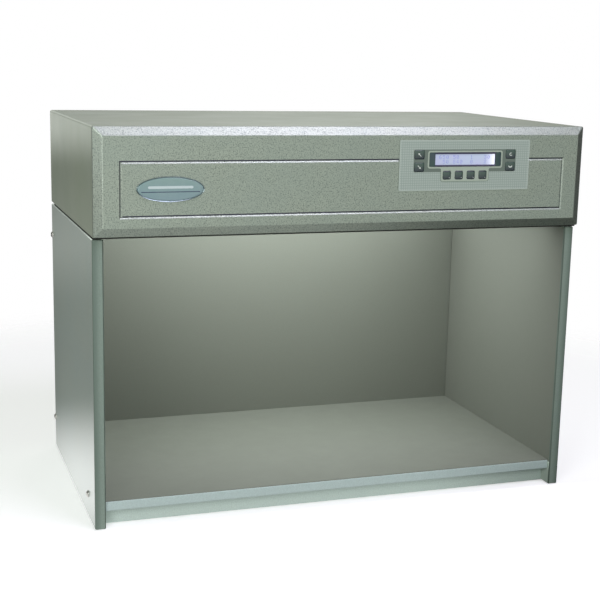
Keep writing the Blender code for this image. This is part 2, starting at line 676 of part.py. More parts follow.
def build_lamps(materials, hood):
    """Tubes that turn a quarter turn in pairs of rotary lampholders."""
    tube_mesh = lamp_mesh()
    holder_mesh = lampholder_mesh()
    for mesh, finish in ((tube_mesh, "lamp_glass"), (holder_mesh, "holder_plastic")):
        mesh.materials.append(materials[finish])
    for number, y in enumerate(lamp_places(), start=1):
        right, left = (HOLDER_FACE, y, LAMP_Z), (-HOLDER_FACE, y, LAMP_Z)
        place_copy(f"lamp_tube_{number}", tube_mesh, hood, (0, y, LAMP_Z), 0)
        place_copy(f"lampholder_right_{number}", holder_mesh, hood, right, 0)
        place_copy(f"lampholder_left_{number}", holder_mesh, hood, left, math.pi)


def place_copy(name, mesh, parent, location, turn_z):
    copy = bpy.data.objects.new(name, mesh)
    copy.parent = parent
    copy.location = Vector(location) - parent.location
    copy.rotation_euler.z = turn_z
    bpy.context.scene.collection.objects.link(copy)


def lamp_mesh():
    """A tube about its own axis along X, with caps and two pins at each end."""
    cap_end = LAMP_HALF - CAP_LENGTH
    half = [(LAMP_HALF, LAMP_R - 1.6 * MM), (LAMP_HALF - 1.2 * MM, LAMP_R),
            (cap_end, LAMP_R), (cap_end - MM, LAMP_R - GLASS_INSET)]
    profile = half + [(-x, radius) for x, radius in reversed(half)]
    tube = add_object("tube_template", turned("X", (0, 0), profile, 18), smooth=True)
    pins = [rod("X", (y, 0), sign * (LAMP_HALF - 2 * MM), sign * (LAMP_HALF + PIN_LENGTH), PIN_R, 6)
            for sign in (-1, 1) for y in (-PIN_SPREAD, PIN_SPREAD)]
    shape_with(tube, merge(*pins), "UNION")
    return baked_mesh("lamp_tube", tube)


def lampholder_mesh():
    """A holder for a right-hand tube end: rotor recess and entry slot face -X."""
    top = TRAY_TOP - TRAY_SHEET - GAP - LAMP_Z
    arc = [math.radians(turn) for turn in range(180, 361, 20)]
    section = [(HOLDER_R, top), (-HOLDER_R, top)]
    section += [(HOLDER_R * math.cos(turn), HOLDER_R * math.sin(turn)) for turn in arc]
    body = skin([[point("X", x, y, z) for y, z in section] for x in (0, HOLDER_THICK)])
    holder = add_object("holder_template", body, smooth=True)
    shape_with(holder, rod("X", (0, 0), -BOARD, ROTOR_DEPTH, ROTOR_R, 24))
    entry = box((-BOARD, -ENTRY_WIDTH / 2, -2 * HOLDER_R), (ROTOR_DEPTH, ENTRY_WIDTH / 2, 0))
    shape_with(holder, entry)
    return baked_mesh("lampholder", holder)


def build_gear(materials, hood):
    """Ballasts, power supply and wiring on top of the gear tray."""
    floor = TRAY_TOP + GAP
    for number, y in enumerate(BALLAST_Y, start=1):
        case = box((BALLAST_X[0], y - BALLAST_HALF_Y, floor),
                   (BALLAST_X[1], y + BALLAST_HALF_Y, floor + BALLAST_HEIGHT))
        bevel_edges(case, 1.5 * MM, 1)
        add_object(f"ballast_{number}", case, materials["ballast_case"], hood)
    supply = box((SUPPLY_X[0], SUPPLY_Y[0], floor), (SUPPLY_X[1], SUPPLY_Y[1], floor + SUPPLY_HEIGHT))
    bevel_edges(supply, 1.5 * MM, 1)
    add_object("power_supply", supply, materials["ballast_case"], hood)
    build_loom(materials["wire_sleeve"], hood)


def build_loom(sleeve, hood):
    """Wiring from the mains inlet past the gear to the control board."""
    z = TRAY_TOP + 5 * MM
    route = [(INLET_X, REAR - 29 * MM, 514 * MM), (INLET_X, 150 * MM, 504 * MM),
             (INLET_X - 25 * MM, 110 * MM, z), (INLET_X - 70 * MM, 95 * MM, z),
             (60 * MM, 92 * MM, z), (0, 70 * MM, z), (-8 * MM, 0, z), (-8 * MM, -90 * MM, z),
             (20 * MM, -140 * MM, z), (90 * MM, -158 * MM, z + 2 * MM),
             (OVERLAY_X - 20 * MM, -166 * MM, z + 2 * MM), (OVERLAY_X, -176 * MM, z + 2 * MM)]
    curve = bpy.data.curves.new("wiring_loom", "CURVE")
    curve.dimensions = "3D"
    curve.bevel_depth = LOOM_R
    curve.bevel_resolution = 1
    curve.use_fill_caps = True
    smooth = smooth_route(route, 4)
    spline = curve.splines.new("POLY")
    spline.points.add(len(smooth) - 1)
    for spot, place in zip(spline.points, smooth):
        spot.co = (*(place - hood.location), 1)
    curve.materials.append(sleeve)
    loom = bpy.data.objects.new("wiring_loom", curve)
    loom.parent = hood
    bpy.context.scene.collection.objects.link(loom)


def smooth_route(route, steps):
    """Points along a Catmull-Rom curve through the route."""
    knots = [Vector(place) for place in route]
    knots = [2 * knots[0] - knots[1]] + knots + [2 * knots[-1] - knots[-2]]
    places = []
    for a, b, c, d in zip(knots, knots[1:], knots[2:], knots[3:]):
        for i in range(steps):
            t = i / steps
            places.append(0.5 * ((2 * b) + (c - a) * t + (2 * a - 5 * b + 4 * c - d) * t * t
                                 + (3 * b - a - 3 * c + d) * t * t * t))
    return places + [knots[-2]]


def build_inlet(plastic, hood):
    """Fused mains inlet: socket with three blades, and a drawer slot below it."""
    back = REAR - 26 * MM
    face = REAR_FLANGE + FLANGE_THICK
    middle = (INLET_X, INLET_Z)
    body = rectangle(INLET_BODY[0] / 2, INLET_BODY[1] / 2, 1 * MM, 2)
    flange = rectangle(INLET_FLANGE[0] / 2, INLET_FLANGE[1] / 2, 2 * MM, 2)
    shell = loft("Y", middle, [(back, body), (REAR_FLANGE, body),
                               (REAR_FLANGE, flange), (face, flange)])
    inlet = add_object("mains_inlet", shell, plastic, hood)

    half_x, half_z, cut = SOCKET_SIZE[0] / 2, SOCKET_SIZE[1] / 2, 5 * MM
    outline = [(half_x, -half_z), (half_x, half_z - cut), (half_x - cut, half_z),
               (cut - half_x, half_z), (-half_x, half_z - cut), (-half_x, -half_z)]
    floor = face - SOCKET_DEPTH
    shape_with(inlet, loft("Y", (INLET_X, SOCKET_Z), [(floor, outline), (face + BOARD, outline)]))
    blades = []
    for dx, dz in BLADES:
        blades.append(box((INLET_X + dx - MM, floor - MM, SOCKET_Z + dz - 2 * MM),
                          (INLET_X + dx + MM, face - 3 * MM, SOCKET_Z + dz + 2 * MM)))
    shape_with(inlet, merge(*blades), "UNION")

    slot = rectangle(DRAWER_SIZE[0] / 2 + GAP, DRAWER_SIZE[1] / 2 + GAP)
    slot_floor = face - DRAWER_DEPTH - GAP
    shape_with(inlet, loft("Y", (INLET_X, DRAWER_Z), [(slot_floor, slot), (face + BOARD, slot)]))


def build_fuse_drawer(plastic, hood):
    """Drawer with a trough for the fuse and a finger notch in its face."""
    face = REAR_FLANGE + FLANGE_THICK + 0.6 * MM
    half_x, half_z = DRAWER_SIZE[0] / 2, DRAWER_SIZE[1] / 2
    low = (INLET_X - half_x, face - DRAWER_DEPTH, DRAWER_Z - half_z)
    high = (INLET_X + half_x, face, DRAWER_Z + half_z)
    drawer = add_object("fuse_drawer", bevel_edges(box(low, high), 0.4 * MM, 1), plastic, hood,
                        origin=(INLET_X, face, DRAWER_Z))
    trough_y = (face - DRAWER_DEPTH + 2 * MM, face - 8 * MM)
    shape_with(drawer, box((INLET_X - 9 * MM, trough_y[0], DRAWER_Z - 2 * MM),
                           (INLET_X + 9 * MM, trough_y[1], DRAWER_Z + BOARD)))
    shape_with(drawer, box((INLET_X - 4 * MM, face - 1.2 * MM, DRAWER_Z + 1.2 * MM),
                           (INLET_X + 4 * MM, face + MM, DRAWER_Z + BOARD)))


def build_switch(plastic, hood):
    """Rocker switch: a frame in the rear wall and a rocker that tips in it."""
    face = REAR_FLANGE + 1.6 * MM
    middle = (SWITCH_X, SWITCH_Z)
    body = rectangle(SWITCH_BODY[0] / 2, SWITCH_BODY[1] / 2)
    flange = rectangle(SWITCH_FLANGE[0] / 2, SWITCH_FLANGE[1] / 2)
    frame = loft("Y", middle, [(REAR - 16 * MM, body), (REAR_FLANGE, body),
                               (REAR_FLANGE, flange), (face, flange)])
    frame = add_object("switch_frame", frame, plastic, hood)
    hole = rectangle(SWITCH_HOLE[0] / 2, SWITCH_HOLE[1] / 2)
    shape_with(frame, loft("Y", middle, [(REAR - 11 * MM, hole), (face + BOARD, hole)]))

    section = [(5, 10), (4.6, 5), (4.2, 0), (4.6, -5), (5, -10), (-3, -8), (-3, 8)]
    half_x = SWITCH_HOLE[0] / 2 - GAP
    rocker = skin([[Vector((x, y * MM, z * MM)) for y, z in section] for x in (-half_x, half_x)])
    bevel_edges(rocker, 0.4 * MM, 1)
    bmesh.ops.transform(rocker, matrix=Matrix.Rotation(-ROCKER_TILT, 4, "X"), verts=rocker.verts)
    pivot = Vector((SWITCH_X, ROCKER_Y, SWITCH_Z))
    bmesh.ops.translate(rocker, verts=rocker.verts, vec=pivot)
    add_object("switch_rocker", rocker, plastic, hood, origin=pivot, smooth=True)


def main():
    clear_scene()
    materials = {name: make_material(name) for name in FINISHES}
    booth = make_empty("booth", (0, 0, 0))
    hood = make_empty("hood", (0, 0, HOOD_BOTTOM))
    build_boards(materials["painted_board"], booth)
    build_screws(materials["screw_steel"], booth)
    build_hood_joint(materials["screw_steel"], materials["foam_rubber"], booth)
    build_case(materials["hood_paint"], hood)
    build_fascia(materials["fascia_paint"], hood)
    build_key_panel(materials, hood)
    build_badge(materials["badge_enamel"], hood)
    build_tray(materials, hood)
    build_lamps(materials, hood)
    build_gear(materials, hood)
    build_inlet(materials["black_plastic"], hood)
    build_fuse_drawer(materials["black_plastic"], hood)
    build_switch(materials["black_plastic"], hood)


main()
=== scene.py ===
"""Looks of the colour assessment cabinet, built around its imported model.

Metres, +Z up, the open front faces -Y. Pieces are modelled in the model's own
frame, so their Object coordinates are the model's coordinates in metres.
"""

import math

import bmesh
import bpy
from mathutils import Matrix, Vector


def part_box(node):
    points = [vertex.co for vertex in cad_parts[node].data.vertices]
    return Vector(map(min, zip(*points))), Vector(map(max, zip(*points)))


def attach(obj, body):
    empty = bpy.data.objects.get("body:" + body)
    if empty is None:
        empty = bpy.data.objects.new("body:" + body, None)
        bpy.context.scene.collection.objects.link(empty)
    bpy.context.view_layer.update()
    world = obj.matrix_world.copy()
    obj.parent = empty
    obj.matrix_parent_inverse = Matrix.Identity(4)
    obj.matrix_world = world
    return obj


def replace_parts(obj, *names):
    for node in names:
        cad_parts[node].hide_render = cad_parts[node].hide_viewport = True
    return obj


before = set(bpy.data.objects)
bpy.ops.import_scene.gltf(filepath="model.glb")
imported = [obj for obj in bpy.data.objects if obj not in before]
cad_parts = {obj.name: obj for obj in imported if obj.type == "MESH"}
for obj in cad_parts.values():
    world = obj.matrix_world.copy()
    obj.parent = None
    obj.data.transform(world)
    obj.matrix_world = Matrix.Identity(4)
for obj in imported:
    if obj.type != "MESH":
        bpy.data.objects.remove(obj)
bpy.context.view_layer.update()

MM = 0.001


def mm(*sizes):
    return tuple(size * MM for size in sizes)


CABINET = "cabinet"
SIDE_KEYS = ("key_upper_left", "key_lower_left", "key_upper_right", "key_lower_right")
ROW_KEYS = ("key_row_1", "key_row_2", "key_row_3", "key_row_4")
LAMPS = range(1, 6)
SIDES = (("left", -1), ("right", 1))

# Camera: the angle and lens of the reference view
CAMERA_PLACE = (-0.61199, -1.77183, 0.64428)
CAMERA_YAW = 18.906           # towards +X
CAMERA_PITCH = 11.396         # downwards
CAMERA_ROLL = 1.238
CAMERA_LENS = 74.3

# Booth
TOP_EDGE_DEPTH = 1.1 * MM             # depth of the pale band painted along the side panels' tops as a highlight, also the bevel width on their edges
SCREW_HEAD_R = 5 * MM
SCREW_HEAD_HEIGHT = 3 * MM
SCREW_SHANK_R = 2.4 * MM
RECESS_ARM = mm(2.6, 0.55)    # half length and half width of the cross recess
RECESS_FLOOR = 1.4 * MM       # above the panel

# Key panel graphics, in the panel's plane
BAND_LIP = 0.7 * MM           # dark band beyond the corner keys
FILM = 0.08 * MM              # thickness of one printed or embossed layer
FRAME_WIDTH = 2.4 * MM        # light frame round the display
TRAY_SIDE = 3.2 * MM          # light field beyond the outer row keys
TRAY_BELOW = 2.8 * MM
TRAY_LINE = 0.7 * MM          # dark line round the row keys' field
KEY_FLANGE = 1 * MM
KEY_CLEARANCE = 0.3 * MM
KEY_STEM = mm(2.5, 2.5)
GRID_PITCH = 3.3 * MM
GRID_MARGIN = 1.5 * MM

# Display
APERTURE = mm(45.8, 7.4)      # half size of the opening in its surround
DOT = 0.62 * MM
DOT_PITCH = 0.72 * MM
DOT_DEPTH = 0.06 * MM
DIGIT_PITCH = 5.3 * MM
LINE_PITCH = 6.4 * MM
READOUT = ("650 50   1   30", " 50 840  0   2 ")
DIGITS = {
    "0": "01110 10001 10011 10101 11001 10001 01110",
    "1": "00100 01100 00100 00100 00100 00100 01110",
    "2": "01110 10001 00001 00110 01000 10000 11111",
    "3": "01110 10001 00001 00110 00001 10001 01110",
    "4": "00010 00110 01010 10010 11111 00010 00010",
    "5": "11111 10000 11110 00001 00001 10001 01110",
    "6": "01110 10000 10000 11110 10001 10001 01110",
    "8": "01110 10001 10001 01110 10001 10001 01110",
}

# Badge
BADGE_RIM = 1.4 * MM
BADGE_BAR = (mm(30, 1.7), 2.6 * MM)       # half size, height above the middle
BADGE_LINE = (mm(39, 0.55), -3.4 * MM)

# Lamps
PIN_LENGTH = 7.1 * MM
PIN_OFFSET = 6.35 * MM        # from the tube's middle line
CAP_LENGTH = 17 * MM
CAP_OVER_GLASS = 0.6 * MM
CAP_PROFILE = (               # distance in from the cap's end, depth below its largest radius
    mm(17, 0.5), mm(17, 0.15), mm(16.5, 0), mm(6, 0), mm(5.6, 0.25), mm(5, 0.25), mm(4.6, 0), mm(1.6, 0),
    mm(0.5, 0.5), mm(0, 1.6),
)
PIN_PROFILE = (mm(-1, 1.2), mm(6.4, 1.2), mm(6.9, 0.9), mm(7.1, 0.5))     # out from the cap's end, radius

# Mains inlet and rocker
SOCKET_DEPTH = 18 * MM
SOCKET_RISE = 7 * MM          # socket's middle above the inlet's
BLADE_SPOTS = (mm(-7, -2), mm(7, -2), mm(0, 2))
BLADE_REACH = mm(1.1, 2.1)
MARK_RISE = 5.6 * MM          # rocker marks above and below its middle

# Light
DIFFUSER_GLOW = (7.2, 9.5)    # emission at the diffuser's front and rear edges
DIFFUSER_RIM = 0.55           # emission at its ends, as a share of the middle's
FLOOR_RADIUS = 6.0
FLOOR_FADE = (0.85, 1.3)      # distance at which the floor starts and ends fading out
FLOOR_LEFT = 1.15             # brightness of the floor as the object sees it
FLOOR_MIDDLE = 0.55
FLOOR_RIGHT = 0.01
SKY_TINT = (0.98, 1.02, 0.96)
SKY_FRONT = (0.8, 0.35)       # brightness in front of the object, near the horizon and high up
SKY_SIDES = (                 # from left to right: position, share of the light
    (-0.95, 0.15), (-0.7, 0.25), (-0.35, 1.1), (-0.05, 1.1), (0.08, 0.8), (0.2, 1.0), (0.3, 1.25),
    (0.42, 1.2), (0.5, 0.7), (0.9, 0.05),
)
SKY = (                       # behind it: sine of the height above the horizon, brightness
    (-1.0, 0.1), (-0.198, 0.08), (-0.155, 0.28), (-0.12, 0.2), (-0.09, 0.08), (-0.064, 0.85),
    (-0.02, 0.7), (0.026, 0.24), (0.06, 0.28), (0.1, 0.9), (0.15, 1.0), (0.22, 0.45), (1.0, 0.55),
)
SOFTBOXES = (                 # name, place, target, size, watts, colour
    ("overhead_front", (0.6, -1.25, 2.3), (0.1, 0, 0.4), (1.2, 0.8), 19, (0.96, 0.86, 1.1)),
    ("key_left", (-1.4, -1.7, 1.0), (-0.3, 0, 0.4), (0.9, 0.9), 16, (1, 1, 1)),
    ("rear_fill", (1.3, 2.2, 0.25), (0, 0, 0.25), (1.6, 0.5), 14, (1, 1, 1)),
)


# ---------------------------------------------------------------- materials

def rgb(red, green, blue):
    """Linear colour from 0 to 255 display values."""
    def linear(value):
        value /= 255
        return value / 12.92 if value <= 0.04045 else ((value + 0.055) / 1.055) ** 2.4
    return (linear(red), linear(green), linear(blue), 1.0)


LAMINATE = rgb(192, 207, 195)


class Nodes:
    """A node tree under construction. Each method adds a node and returns its output."""

    def __init__(self, tree):
        self.tree = tree

    def node(self, kind, **settings):
        made = self.tree.nodes.new(kind)
        for key, value in settings.items():
            setattr(made, key, value)
        return made

    def feed(self, socket, value):
        """Links a socket to an output, or sets it to a constant."""
        if isinstance(value, bpy.types.NodeSocket):
            self.tree.links.new(value, socket)
        else:
            socket.default_value = value

    def fed(self, kind, output, *values, **settings):
        """An output of a new node whose first sockets are fed with those values."""
        made = self.node(kind, **settings)
        for socket, value in zip(made.inputs, values):
            self.feed(socket, value)
        return made.outputs[output]

    def math(self, operation, first, second=0.0):
        return self.fed("ShaderNodeMath", 0, first, second, operation=operation)

    def times(self, first, *others):
        """Product of all of them."""
        for other in others:
            first = self.math("MULTIPLY", first, other)
        return first

    def spread(self, value, low=0.3, high=0.7, to_low=0.0, to_high=1.0, kind="LINEAR"):
        """Value mapped from low..high, by default where a noise varies, to to_low..to_high."""
        return self.fed("ShaderNodeMapRange", 0, value, low, high, to_low, to_high,
                        clamp=True, interpolation_type=kind)

    def ease(self, value, low, high, to_low=0.0, to_high=1.0):
        """The same without a crease at either end."""
        return self.spread(value, low, high, to_low, to_high, "SMOOTHSTEP")

    def level(self, noise, start, end):
        """From start to end as a noise goes from its low to its high values."""
        return self.spread(noise, to_low=start, to_high=end)

    def mix(self, factor, first, second):
        made = self.node("ShaderNodeMix", data_type="RGBA")
        for index, value in ((0, factor), (6, first), (7, second)):
            self.feed(made.inputs[index], value)
        return made.outputs[2]

    def ramp(self, value, stops, tint=(1, 1, 1)):
        """Colour ramp over -1 to 1 through (position, level) stops."""
        made = self.node("ShaderNodeValToRGB")
        self.feed(made.inputs[0], self.spread(value, -1.0, 1.0))
        elements = made.color_ramp.elements
        for index, (place, level) in enumerate(stops):
            spot = (place + 1) / 2
            entry = elements[index] if index < 2 else elements.new(spot)
            entry.position = spot
            entry.color = tinted(level, tint)
        return made.outputs[0]

    def blend(self, factor, first, second):
        """Mix of two shaders."""
        return self.fed("ShaderNodeMixShader", 0, factor, first, second)

    def by_ray(self, seen, lighting):
        """The shader that the camera sees, or else the one that lights the object."""
        return self.blend(self.node("ShaderNodeLightPath").outputs["Is Camera Ray"], lighting, seen)


class Look(Nodes):
    """A piece's node material: the shader and its coat's constants, and the colour so far."""

    def __init__(self, name, colour, roughness=0.5, metallic=0.0, coat=(0.0, 0.03), **constants):
        self.material = bpy.data.materials.new(name)
        self.material.use_nodes = True
        super().__init__(self.material.node_tree)
        self.shader = self.tree.nodes["Principled BSDF"]
        self.base = self.colour = colour
        self.feed_shader(Base_Color=colour, Roughness=roughness, Metallic=metallic,
                         Coat_Weight=coat[0], Coat_Roughness=coat[1], **constants)
        self.place = self.node("ShaderNodeTexCoord").outputs["Object"]

    def feed_shader(self, **sockets):
        """Feeds the shader's sockets, named with underscores."""
        for socket, value in sockets.items():
            self.feed(self.shader.inputs[socket.replace("_", " ")], value)

    def stretched(self, scale):
        """Object coordinates scaled differently along each axis."""
        mapping = self.node("ShaderNodeMapping")
        self.feed(mapping.inputs["Vector"], self.place)
        mapping.inputs["Scale"].default_value = scale
        return mapping.outputs["Vector"]

    def noise(self, size, detail=2.0, roughness=0.5, vector=None):
        """Noise from 0 to 1 with features of about that size in metres."""
        made = self.node("ShaderNodeTexNoise")
        self.feed(made.inputs["Vector"], vector or self.place)
        made.inputs["Scale"].default_value = 1 / size
        made.inputs["Detail"].default_value = detail
        made.inputs["Roughness"].default_value = roughness
        return made.outputs["Fac"]

    def cells(self, size):
        """Distance to the nearest of scattered points that far apart."""
        made = self.node("ShaderNodeTexVoronoi")
        self.feed(made.inputs["Vector"], self.place)
        made.inputs["Scale"].default_value = 1 / size
        return made.outputs["Distance"]

    def axis(self, letter):
        return self.fed("ShaderNodeSeparateXYZ", letter, self.place)

    def inside(self, name, margin):
        """1 within a node's outline in X and Z, drawn in by a margin, and 0 elsewhere."""
        low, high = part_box(name)
        tests = []
        for letter, start, end in (("X", low.x, high.x), ("Z", low.z, high.z)):
            axis = self.axis(letter)
            tests += [self.math("GREATER_THAN", axis, start + margin),
                      self.math("LESS_THAN", axis, end - margin)]
        return self.times(*tests)

    def wave(self, kind, axis, start, pitch):
        """Sine or cosine of an axis with a wave every pitch from the start."""
        phase = self.times(self.math("SUBTRACT", axis, start), 2 * math.pi / pitch)
        return self.math(kind, phase)

    def off_middle(self, letter, middle=0.0):
        """Distance from a middle along an axis."""
        return self.math("ABSOLUTE", self.math("SUBTRACT", self.axis(letter), middle))

    def shades(self, factor, spread, colour=None):
        """The colour from darker to lighter by that share as factor goes from 0 to 1."""
        red, green, blue, _ = colour or self.base
        dark = (red * (1 - spread), green * (1 - spread), blue * (1 - spread), 1)
        light = (red * (1 + spread), green * (1 + spread), blue * (1 + spread), 1)
        return self.mix(factor, dark, light)

    def speckle(self, noise, spread):
        """Starts the colour as shades of the base colour that follow a noise."""
        self.colour = self.shades(self.spread(noise), spread)

    def cover(self, factor, other):
        """Puts another colour over this one where the factor is 1."""
        self.colour = self.mix(factor, self.colour, other)

    def keep(self, factor, other):
        """Keeps the colour where the factor is 1 and puts another one elsewhere."""
        self.colour = self.mix(factor, other, self.colour)

    def stain(self, noise, share, other, low=0.3, high=0.7):
        """Puts up to that share of another colour where the noise goes from low to high."""
        self.cover(self.spread(noise, low, high, 0.0, share), other)

    def bump(self, height, distance, strength):
        made = self.node("ShaderNodeBump")
        made.inputs["Distance"].default_value = distance
        made.inputs["Strength"].default_value = strength
        self.feed(made.inputs["Height"], height)
        return made.outputs["Normal"]

    def apply(self, roughness=None, relief=None, distance=0.0, strength=1.0, **sockets):
        """Feeds the shader, with a bump from relief, and returns the material."""
        if roughness:
            sockets["Roughness"] = roughness
        if relief:
            sockets["Normal"] = self.bump(relief, distance, strength)
        self.feed_shader(Base_Color=self.colour, **sockets)
        return self.material

    def glow(self, power, *relief):
        """The same for a material that gives off its own colour."""
        return self.apply(None, *relief, Emission_Color=self.colour, Emission_Strength=power)


def structured_paint():
    """Fascia: stoved metallic paint with a fine stippled surface."""
    look = Look("structured_paint", rgb(170, 180, 167), metallic=0.82, coat=(0.3, 0.3))
    grain = look.noise(1.3 * MM, detail=3.0, roughness=0.7)
    pits = look.ease(look.noise(1.7 * MM, detail=1.0), 0.34, 0.5)
    look.speckle(grain, 0.2)
    look.keep(pits, rgb(134, 144, 135))
    look.stain(look.noise(60 * MM), 0.3, rgb(158, 173, 166))
    # painted shade: the groove's slopes that face down and right are darkened violet-grey
    look.cover(groove_shade(look), rgb(84, 86, 100))
    relief = look.math("ADD", grain, look.times(pits, 0.5))
    return look.apply(look.level(grain, 0.5, 0.36), relief, 0.2 * MM, 0.5)


def groove_shade(look):
    """Painted shade on the groove's slopes: 1 where they face down, less where they face right."""
    slope, rim = 0.2, 20 * MM
    normal = look.node("ShaderNodeSeparateXYZ")
    look.feed(normal.inputs[0], look.node("ShaderNodeNewGeometry").outputs["Normal"])
    down = look.math("LESS_THAN", normal.outputs["Z"], -slope)
    right = look.times(look.math("GREATER_THAN", normal.outputs["X"], slope), 0.5)
    return look.times(look.math("MAXIMUM", down, right), look.inside("front_fascia", rim))


def hood_paint():
    """Case: smooth satin paint over folded steel sheet."""
    look = Look("hood_paint", rgb(153, 167, 139), coat=(0.6, 0.12), Specular_IOR_Level=0.3)
    look.speckle(look.noise(1.5 * MM), 0.02)
    look.stain(look.noise(120 * MM), 0.2, rgb(146, 163, 146), 0.35, 0.65)
    rough = look.level(look.noise(70 * MM), 0.3, 0.38)
    return look.apply(rough, look.noise(9 * MM, detail=1.0), 0.04 * MM, 0.12)


def outer_board():
    """Outside of the boards: laminate with a fine pearl grain and a pale metallic band painted along the
    top, a painted highlight for the light the panels' top edges catch.
    """
    look = Look("outer_board", LAMINATE, coat=(0.7, 0.12))
    pearl = look.noise(1.3 * MM)
    look.speckle(pearl, 0.05)
    look.stain(look.noise(90 * MM), 0.4, rgb(186, 205, 198), 0.35, 0.65)
    # painted highlight: a pale metallic band along the top edge; the rendered metal reflection adds to it
    top_sheen = look.math("GREATER_THAN", look.axis("Z"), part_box("left_side_panel")[1].z - TOP_EDGE_DEPTH)
    look.cover(top_sheen, rgb(220, 236, 228))
    return look.apply(look.level(pearl, 0.34, 0.26), pearl, 0.05 * MM, 0.4,
                        Metallic=look.times(top_sheen, 0.9))


def edge_band():
    """Glued band on the side panels' front edges, with painted shade: a dark line along its inner corner
    and darker towards its outer corner.
    """
    look = Look("edge_band", rgb(134, 150, 139), Specular_IOR_Level=0.3)
    inner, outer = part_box("right_side_panel")
    streaks = look.noise(1.0 * MM, vector=look.stretched((1.0, 1.0, 0.06)))
    pearl = look.noise(1.6 * MM)
    look.speckle(pearl, 0.07)
    look.stain(streaks, 0.25, rgb(120, 137, 127), 0.45, 0.7)
    across = look.off_middle("X")
    # painted shade: darker towards the band's outer corner
    outer_shade = look.ease(across, inner.x + 4 * MM, outer.x - 1 * MM, 0.0, 0.75)
    look.cover(outer_shade, rgb(98, 115, 105))
    # painted shade: a dark line along the band's inner corner
    inner_shade = look.ease(across, inner.x + 1.2 * MM, inner.x + 2.2 * MM, 1.0, 0.0)
    look.cover(inner_shade, rgb(84, 98, 88))
    return look.apply(look.level(pearl, 0.6, 0.48), pearl, 0.05 * MM, 0.5)


def speckled_board(name, colour):
    """Base edge and plinth: the lightest board finishes, lightly speckled."""
    look = Look(name, colour, coat=(0.1, 0.3))
    speckle = look.noise(1.8 * MM)
    look.speckle(speckle, 0.08)
    look.stain(look.noise(9 * MM), 0.3, look.shades(speckle, 0.12), 0.4, 0.7)
    return look.apply(look.level(speckle, 0.48, 0.36), speckle, 0.06 * MM, 0.5)


def chamber_paint():
    """Inside of the booth: dead matt neutral grey, rolled on down to the base board."""
    look = Look("chamber_paint", rgb(94, 98, 89), Specular_IOR_Level=0.25)
    fine = look.noise(0.9 * MM, detail=3.0, roughness=0.6)
    scuff = look.noise(45 * MM, detail=5.0, roughness=0.65)
    look.speckle(fine, 0.05)
    look.stain(scuff, 0.3, rgb(90, 93, 84), 0.35, 0.7)
    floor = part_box("base_board")[1].z
    height = look.axis("Z")
    # painted shade: the floor's top a little darker than the walls of the same paint
    on_floor = look.math("LESS_THAN", height, floor + 0.1 * MM)
    look.cover(on_floor, look.shades(fine, 0.05, rgb(90, 94, 85)))
    look.keep(look.math("GREATER_THAN", height, floor - 3 * MM), LAMINATE)
    rough = look.spread(scuff, 0.35, 0.7, 0.86, 0.74)
    return look.apply(rough, look.noise(3.2 * MM), 0.06 * MM, 0.6)


def raw_board():
    """Unfinished back and underside faces: pressed wood fibre."""
    look = Look("raw_board", rgb(148, 158, 148), 0.7)
    fibre = look.noise(1.4 * MM, detail=4.0, roughness=0.7, vector=look.stretched((0.35, 1.0, 1.0)))
    look.speckle(fibre, 0.1)
    return look.apply(None, fibre, 0.08 * MM, 0.6)


def overlay_film():
    """Key panel film: pale polyester with a faint woven grid inside a plain margin."""
    look = Look("overlay_film", rgb(170, 183, 174), coat=(0.2, 0.3))
    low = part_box("key_overlay")[0]
    threads = []
    for letter, start in (("X", low.x), ("Z", low.z)):
        thread = look.wave("SINE", look.axis(letter), start, GRID_PITCH)
        threads.append(look.ease(thread, 0.35, 1.0))
    field = look.inside("key_overlay", GRID_MARGIN)
    weave = look.times(look.math("MAXIMUM", *threads), field)
    grain = look.noise(0.7 * MM)
    look.speckle(grain, 0.03)
    look.cover(look.times(weave, 0.8), rgb(138, 156, 146))
    look.keep(field, rgb(176, 190, 180))
    relief = look.math("ADD", look.times(weave, -1.0), look.times(grain, 0.2))
    return look.apply(look.spread(weave, 0.0, 1.0, 0.36, 0.46), relief, 0.05 * MM, 0.5)


def printed_film(name, colour):
    """A printed layer of the key panel."""
    look = Look(name, colour, coat=(0.15, 0.3))
    grain = look.noise(0.6 * MM)
    drift = look.noise(18 * MM)
    look.speckle(grain, 0.04)
    look.stain(drift, 0.3, look.shades(drift, 0.12), 0.35, 0.65)
    return look.apply(look.level(grain, 0.35, 0.45), grain, 0.02 * MM, 0.4)


def key_film():
    """Domed keys: green at the top turning dark blue-grey below, the top painted lighter as a painted
    highlight.
    """
    look = Look("key_film", rgb(40, 50, 58), coat=(0.5, 0.15))
    z = look.axis("Z")
    rise = None
    for name in ("key_row_1", "key_lower_left", "key_upper_left"):
        low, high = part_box(name)
        within = look.ease(z, low.z + 2 * MM, high.z - 3 * MM)
        if rise:
            within = look.mix(look.math("GREATER_THAN", z, low.z), rise, within)
        rise = within
    grain = look.noise(0.5 * MM)
    # painted highlight: the keys lighter and greener towards the top
    look.cover(rise, rgb(64, 86, 76))
    look.stain(grain, 0.12, rgb(80, 104, 96), 0.35, 0.65)
    return look.apply(look.level(grain, 0.26, 0.36), grain, 0.01 * MM, 0.3)


def bezel_plastic():
    """Display bezel: dark green-blue semi-gloss plastic, violet along the screen."""
    look = Look("bezel_plastic", rgb(50, 76, 72), coat=(0.2, 0.2))
    spark = look.noise(0.5 * MM)
    look.stain(look.noise(14 * MM), 1.0, rgb(56, 74, 80), 0.35, 0.65)
    across = look.off_middle("X", middle_of("display_bezel").x)
    look.keep(look.ease(across, 45 * MM, 48 * MM), rgb(58, 54, 82))
    return look.apply(look.level(spark, 0.28, 0.4), spark, 0.02 * MM, 0.4)


